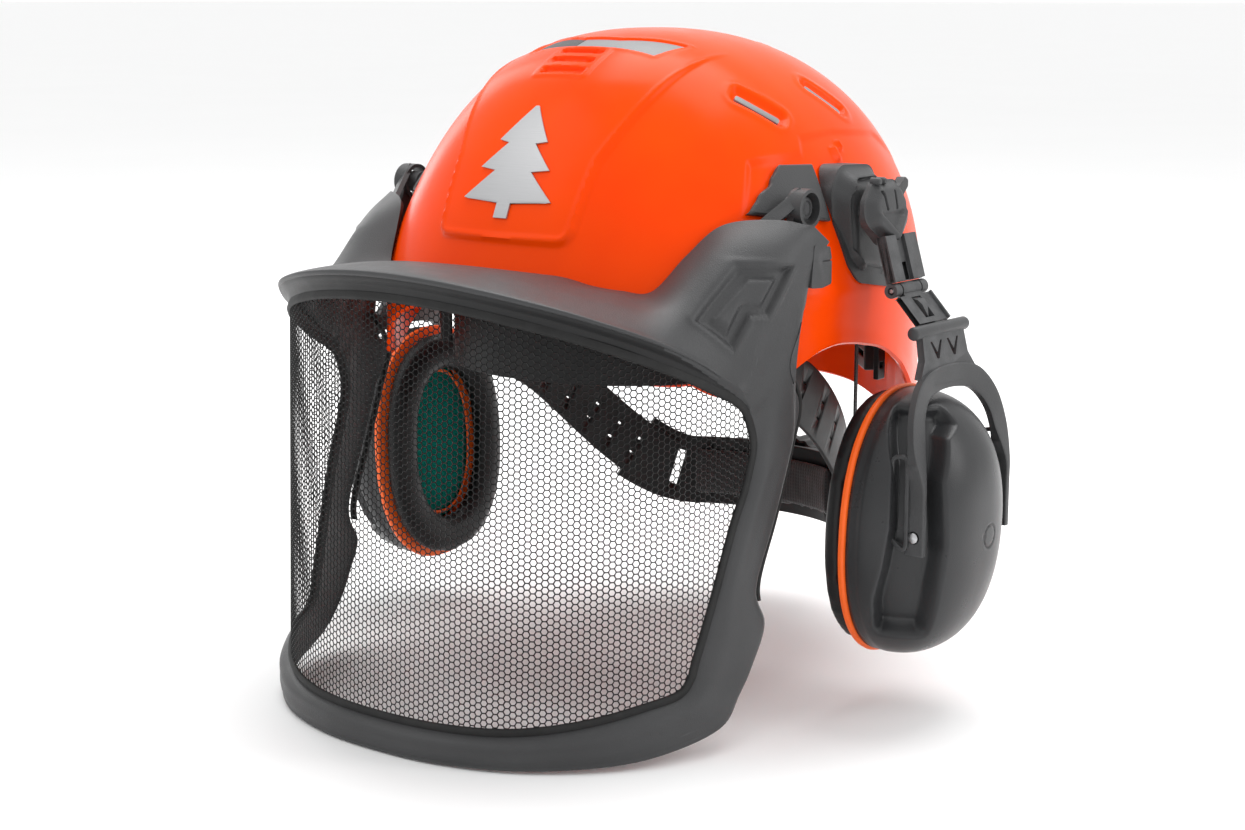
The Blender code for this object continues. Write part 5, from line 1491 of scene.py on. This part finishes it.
def fill_pad(obj, voxel, pressure, cap, frames=20):
    simulate(obj, voxel, pressure, cap, frames)
    smooth_once(obj)


def make_cushions():
    """One cushion is filled by simulation; the other is its mirror image."""
    left = new_object("cushion_skin_L", cushion_bm(0.93), 80)
    fill_pad(left, 0.0030, 4.0, 0.0012)
    right = bpy.data.objects.new("cushion_skin_R", left.data.copy())
    bpy.context.scene.collection.objects.link(right)
    mirror_object(right, -1)
    for obj, name in ((left, "L"), (right, "R")):
        finish(obj, "cushion_black", f"muff_{SIDE_NAMES[name]}", f"cushion_{name}")


def make_foam(name, side):
    """The foam in the cup, crowned in the middle, with a thin orange ring round its face."""
    rows = []
    for share in (0.02, 0.2, 0.4, 0.6, 0.78, 0.9, 0.97, 1.0):
        depth = -0.0031 + 0.0016 * share ** 4
        rows.append(muff_loop(depth, 0.574 * share, 0.674 * share, 96))
    rows.append(muff_loop(0.0045, 0.574, 0.674, 96))
    rows.append(muff_loop(0.0048, 0.54, 0.64, 96))
    muff = f"muff_{SIDE_NAMES[name]}"
    foam = add_piece(f"foam_pad_{name}", grid_bm(rows, closed=True, caps=True), "foam_teal", muff,
                     f"foam_{name}", side=side, sharp=60)
    loops = []
    for turn in np.linspace(0, 2 * pi, 10, endpoint=False):
        grow = 0.0006 * cos(turn) / CUP_HALF_LENGTH
        loops.append(muff_loop(-0.0036 + 0.0005 * sin(turn), 0.528 + grow, 0.625 + grow, 96))
    add_piece(f"foam_ring_{name}", grid_bm(loops, closed=True, wrap=True), "ring_orange", muff,
              side=side, sharp=80)


def make_pivot_pins(name, side):
    """Two studs that the cup tips on, one in each leg of the yoke."""
    x, y, z = CUP_PIVOT
    outer = LEG_SPREAD + LEG_THICK / 2 + 0.0012
    for label, low, high in (("front", y - outer, y - LEG_SPREAD + 0.0050),
                             ("rear", y + LEG_SPREAD - 0.0022, y + outer)):
        profile = ((PIN_RADIUS - 0.0006, low), (PIN_RADIUS, low + 0.0005),
                   (PIN_RADIUS, high - 0.0005), (PIN_RADIUS - 0.0006, high))
        add_piece(f"pivot_stud_{label}_{name}", turned_bm(profile, (x, z), "Y", 32), "steel",
                  f"muff_{SIDE_NAMES[name]}", f"pivot_pin_{label}_{name}", side=side)


# ---- harness -------------------------------------------------------------------------------
def band_point(angle, off=0.0):
    """Centre line of the headband; it drops from the brow to the nape."""
    c, s = cos(angle), sin(angle)
    length = BAND_FRONT if s < 0 else BAND_REAR
    fold = float(np.degrees(np.arcsin(np.clip(s, -1, 1))))
    z = BROW_Z + (NAPE_Z - BROW_Z) * float(smoothstep(-30, 62, fold))
    return Vector(((BAND_HALF_WIDTH + off) * float(spow(c, 2 / BAND_PLAN)),
                   (length + off) * float(spow(s, 2 / BAND_PLAN)), z))


def band_line(span, steps, off):
    """Centres, outward and upward directions along the headband."""
    centres, outwards, ups = [], [], []
    for a in np.radians(np.linspace(*span, steps)):
        along = (band_point(a + 0.03, off) - band_point(a - 0.03, off)).normalized()
        outward = Vector((along.y, -along.x, 0)).normalized()
        centres.append(band_point(a, off))
        outwards.append(outward)
        ups.append(outward.cross(along) * -1)
    return centres, outwards, ups


def make_band(name, line, width, holes, hole_sizes, node):
    """A flat band with holes through it, each at a step of its line and a height."""
    band = new_object(name, sweep_bm(*line, rounded_section(BAND_THICK, width, 0.0007)), 50)
    tools = []
    for k, rise in holes:
        c, n, u = (directions[k] for directions in line)
        tools.append(slab_bm(c - n * 0.004 + u * rise, n, n.cross(u), u, hole_sizes))
    carve(band, join_bm(*tools))
    finish(band, "black_plastic", "helmet", node)


def make_headband():
    """The perforated band and the broader cradle at the nape."""
    line = band_line(BAND_SPAN, 181, 0.0)
    holes = [(k, rise) for k in (*range(8, 44, 5), *range(138, 174, 5)) for rise in (-0.004, 0.004)]
    make_band("headband_strap", line, BAND_WIDTH, holes, (0.008, 0.0030, 0.0012), "headband")
    line = band_line(CRADLE_SPAN, 121, 0.0026)
    holes = [(k, 0.0) for k in (18, 32, 88, 102)]
    make_band("nape_cradle_strap", line, 0.0340, holes, (0.008, 0.0040, 0.0180), "nape_cradle")


def pad_section(thickness, width, swell):
    """A pad's cross-section: flat against the band, crowned towards the head."""
    out = []
    for turn in np.linspace(0, 2 * pi, 20, endpoint=False):
        out.append((thickness / 2 * swell * float(spow(cos(turn), 0.8)),
                    width / 2 * swell * float(spow(sin(turn), 0.55))))
    return out


def make_pads():
    """Brow and nape pads, filled by simulation, and the round crown pad with a scalloped edge."""
    for name, node, span, off, width in (
            ("brow_cushion", "brow_pad", BROW_SPAN, -0.0036, 0.0230),
            ("nape_cushion", "nape_pad", NAPE_PAD_SPAN, -0.0012, 0.0260)):
        line = band_line(span, 121, off)
        section = pad_section(0.0040, width, 0.90)
        pad = new_object(name, sweep_bm(*line, section), 70)
        fill_pad(pad, 0.0016, 3.0, 0.0006, 12)
        finish(pad, "webbing_black", "helmet", node)
    rows = []
    for share, z in ((0.03, 0.1372), (0.7, 0.1371), (0.95, 0.1378), (1.0, 0.1392), (0.96, 0.1404),
                     (0.7, 0.1411), (0.03, 0.1413)):
        turns = np.linspace(0, 2 * pi, 72, endpoint=False)
        scallop = 1 - 0.035 * (0.5 + 0.5 * np.cos(8 * turns)) * (share > 0.5)
        radius = CROWN_PAD_RADIUS * share
        rows.append([(radius * s * cos(t), radius * s * sin(t), z)
                     for t, s in zip(turns, scallop)])
    pad = new_object("crown_cushion", grid_bm(rows, closed=True, caps=True), 80)
    fill_pad(pad, 0.0014, 3.0, 0.0005, 12)
    finish(pad, "webbing_black", "helmet", "crown_pad")


def make_crown_strap(name, foot_front, foot_rear, top):
    """A flat woven strap in an arch between two feet, with selvedge ribs."""
    start, end = Vector(foot_front), Vector(foot_rear)
    run = Vector((end.x - start.x, end.y - start.y, 0))
    half = run.length / 2
    run.normalize()
    up = run.cross(Vector((0, 0, 1)))
    middle = (start + end) / 2
    centres, outwards = [], []
    steps = 121
    for k in range(steps):
        turn = pi * (1 - k / (steps - 1))
        along = float(spow(cos(turn), 2 / 2.3))
        height = float(spow(sin(turn), 2 / 2.3))
        foot = start.z + (end.z - start.z) * (along + 1) / 2
        centres.append(Vector((middle.x, middle.y, 0)) + run * half * along
                       + Vector((0, 0, foot + (top - foot) * height)))
    for k in range(steps):
        tangent = (centres[min(k + 1, steps - 1)] - centres[max(k - 1, 0)]).normalized()
        outwards.append(up.cross(tangent).normalized())
    section = []
    for b in np.linspace(-1, 1, 21):
        section.append((0.0006 + 0.00012 * cos(b * pi * 5), b * 0.0100))
    section = section + [(-a, b) for a, b in section[::-1]]
    add_piece(name + "_webbing", sweep_bm(centres, outwards, [up] * steps, section),
              "webbing_black", "helmet", name, sharp=60)


def make_straps():
    """Two crossed straps, and the clips that their feet hang on."""
    feet = {}
    for name, side in SIDES:
        for label, (x, y, z) in (("front", STRAP_FOOT_FRONT), ("rear", STRAP_FOOT_REAR)):
            feet[label + name] = (side * x, y, z)
    make_crown_strap("crown_strap_a", feet["frontL"], feet["rearR"], STRAP_TOPS[0])
    make_crown_strap("crown_strap_b", feet["frontR"], feet["rearL"], STRAP_TOPS[1])
    for name, side in SIDES:
        for label in ("front", "rear"):
            x, y, z = feet[label + name]
            out = Vector((x, y, 0)).normalized()
            across = Vector((-out.y, out.x, 0))
            low = Vector((x, y, z - 0.0010)) + out * 0.0020
            anchor = new_object(f"anchor_clip_{label}_{name}",
                                slab_bm(low, Vector((0, 0, -1)), across, out, (0.0200, 0.0200, 0.0050)))
            carve(anchor, *[slab_bm(low - Vector((0, 0, drop)) - out * 0.01, out, across,
                                    Vector((0, 0, 1)), (0.02, 0.0130, 0.0022))
                            for drop in (0.0060, 0.0130)])
            bevel(anchor, 0.0008, 3)
            finish(anchor, "black_plastic", "helmet", f"strap_anchor_{label}_{name}")


def make_hangers(name, side):
    """The narrow strap and the buckle that hang inside the shell on each side."""
    line = slab_bm((0.0885, 0.0300, 0.0440), (-0.04, 0.06, -0.997), (0, 1, 0), (1, 0, 0),
                   (0.0440, 0.0022, 0.0009))
    strap = add_piece(f"hanger_line_{name}", line, "webbing_black", "helmet", side=side)
    bevel(strap, 0.0003, 2)
    buckle = new_object(f"hanger_buckle_{name}", slab_bm(
        (0.0965, 0.0360, 0.0400), (0, 0, -1), (0, 1, 0), (1, 0, 0), (0.0180, 0.0056, 0.0026)))
    carve(buckle, slab_bm((0.09, 0.0360, 0.0285), (1, 0, 0), (0, 1, 0), (0, 0, 1),
                          (0.02, 0.0030, 0.0024)))
    mirror_object(buckle, side)
    bevel(buckle, 0.0006, 3)
    finish(buckle, "black_plastic", "helmet")


def make_ratchet():
    """The knob's grip and cap, and the housing round its gear; racks and pinion stay CAD."""
    x, y, z = RATCHET

    def grip(turns, radius):
        ribs = 0.5 + 0.5 * np.cos(18 * turns)
        return 1 - 0.055 * ribs * (radius > 0.012)

    profile = ((0.0005, y + 0.0022), (0.0030, y + 0.0022), (0.0030, y + 0.0080),
               (0.0160, y + 0.0080), (KNOB_RADIUS, y + 0.0088), (KNOB_RADIUS, y + 0.0185),
               (KNOB_RADIUS - 0.0008, y + 0.0205), (KNOB_RADIUS - 0.0024, y + 0.0220),
               (KNOB_RADIUS - 0.0040, y + 0.0224), (0.0118, y + 0.0212), (0.0060, y + 0.0209),
               (0.0005, y + 0.0209))
    add_piece("ratchet_grip", turned_bm(profile, (x, z), "Y", 216, grip), "black_plastic", "knob",
              "ratchet_knob", sharp=35)
    half, wall, reach = 0.0138, 0.0018, 0.0330
    outer = [(y - 0.0028, z - half), (y + 0.0072, z - half), (y + 0.0072, z + half),
             (y - 0.0028, z + half), (y - 0.0028, z + half - wall), (y + 0.0050, z + half - wall),
             (y + 0.0050, z - half + wall), (y - 0.0028, z - half + wall)]
    housing = new_object("ratchet_cover", prism_bm(outer, x - reach, x + reach))
    carve(housing, prism_bm(circle(0.0034, 32, (x, z)), y, y + 0.02, "Y"))
    bevel(housing, 0.0007, 3)
    finish(housing, "black_plastic", "helmet", "ratchet_housing")


def finish_cad_nodes():
    """CAD nodes that stay get the same finishes, and small bevels where they are seen."""
    for node in ("ratchet_pinion", "band_rack_L", "band_rack_R"):
        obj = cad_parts[node]
        obj.data.materials.clear()
        obj.data.materials.append(material("black_plastic"))
        bevel(obj, 0.00015, 2, 40)


# ---- stage ---------------------------------------------------------------------------------
def make_floor():
    low = cad_box[0][2] - 0.0005
    grid = [[(a, b, low) for a in np.linspace(-80, 80, 3)] for b in np.linspace(-80, 80, 3)]
    floor = new_object("studio_floor", grid_bm(grid))
    g = Graph("studio_floor")
    g.set("Base Color", g.mixed(g.noise(3.0), (0.93, 0.93, 0.93, 1), (0.95, 0.95, 0.95, 1)))
    g.set("Roughness", 0.75)
    g.set("Specular IOR Level", 0.2)
    floor.data.materials.append(g.material)


def add_light(name, place_at, size, power, target=(0.0, 0.0, 0.03)):
    data = bpy.data.lights.new(name, "AREA")
    data.shape = "RECTANGLE"
    data.size, data.size_y = size
    data.energy = power
    lamp = bpy.data.objects.new(name, data)
    lamp.location = place_at
    lamp.rotation_euler = (Vector(target) - Vector(place_at)).to_track_quat("-Z", "Y").to_euler()
    bpy.context.scene.collection.objects.link(lamp)


def make_studio():
    make_floor()
    world = bpy.data.worlds.new("studio")
    world.use_nodes = True
    background = world.node_tree.nodes["Background"]
    background.inputs["Color"].default_value = (1.0, 1.0, 1.0, 1.0)
    background.inputs["Strength"].default_value = 1.0
    bpy.context.scene.world = world
    add_light("key", (-0.9, -1.0, 1.5), (0.9, 0.9), 3.5)
    add_light("top", (-0.1, 0.5, 1.6), (1.4, 1.0), 21.0)
    add_light("side", (1.6, 0.7, 0.8), (0.4, 1.2), 8.0)
    add_light("strip", (-1.3, 0.5, 0.7), (0.35, 1.4), 3.0)
    camera = bpy.data.objects.new("camera", bpy.data.cameras.new("camera"))
    camera.data.lens = CAMERA_LENS
    camera.location = CAMERA_PLACE
    look = Vector(CAMERA_TARGET) - Vector(CAMERA_PLACE)
    camera.rotation_euler = look.to_track_quat("-Z", "Y").to_euler()
    bpy.context.scene.collection.objects.link(camera)
    bpy.context.scene.camera = camera
    bpy.context.scene.view_settings.view_transform = "Standard"


# ---- the whole helmet ----------------------------------------------------------------------
def main():
    make_shell()
    make_vent_inserts()
    make_emblem()
    make_visor_frame()
    make_screen()
    make_screen_rim()
    make_headband()
    make_pads()
    make_straps()
    make_ratchet()
    make_cushions()
    for name, side in SIDES:
        make_edge_seal(name, side)
        make_visor_arm(name, side)
        make_slide_block(name, side)
        make_pivot_plate(name, side)
        make_slot_housing(name, side)
        make_arm_cover(name, side)
        make_arm_upper(name, side)
        make_arm_lower(name, side)
        make_yoke(name, side)
        make_cup(name, side)
        make_backplate(name, side)
        make_foam(name, side)
        make_pivot_pins(name, side)
        make_hangers(name, side)
    finish_cad_nodes()
    make_studio()


main()
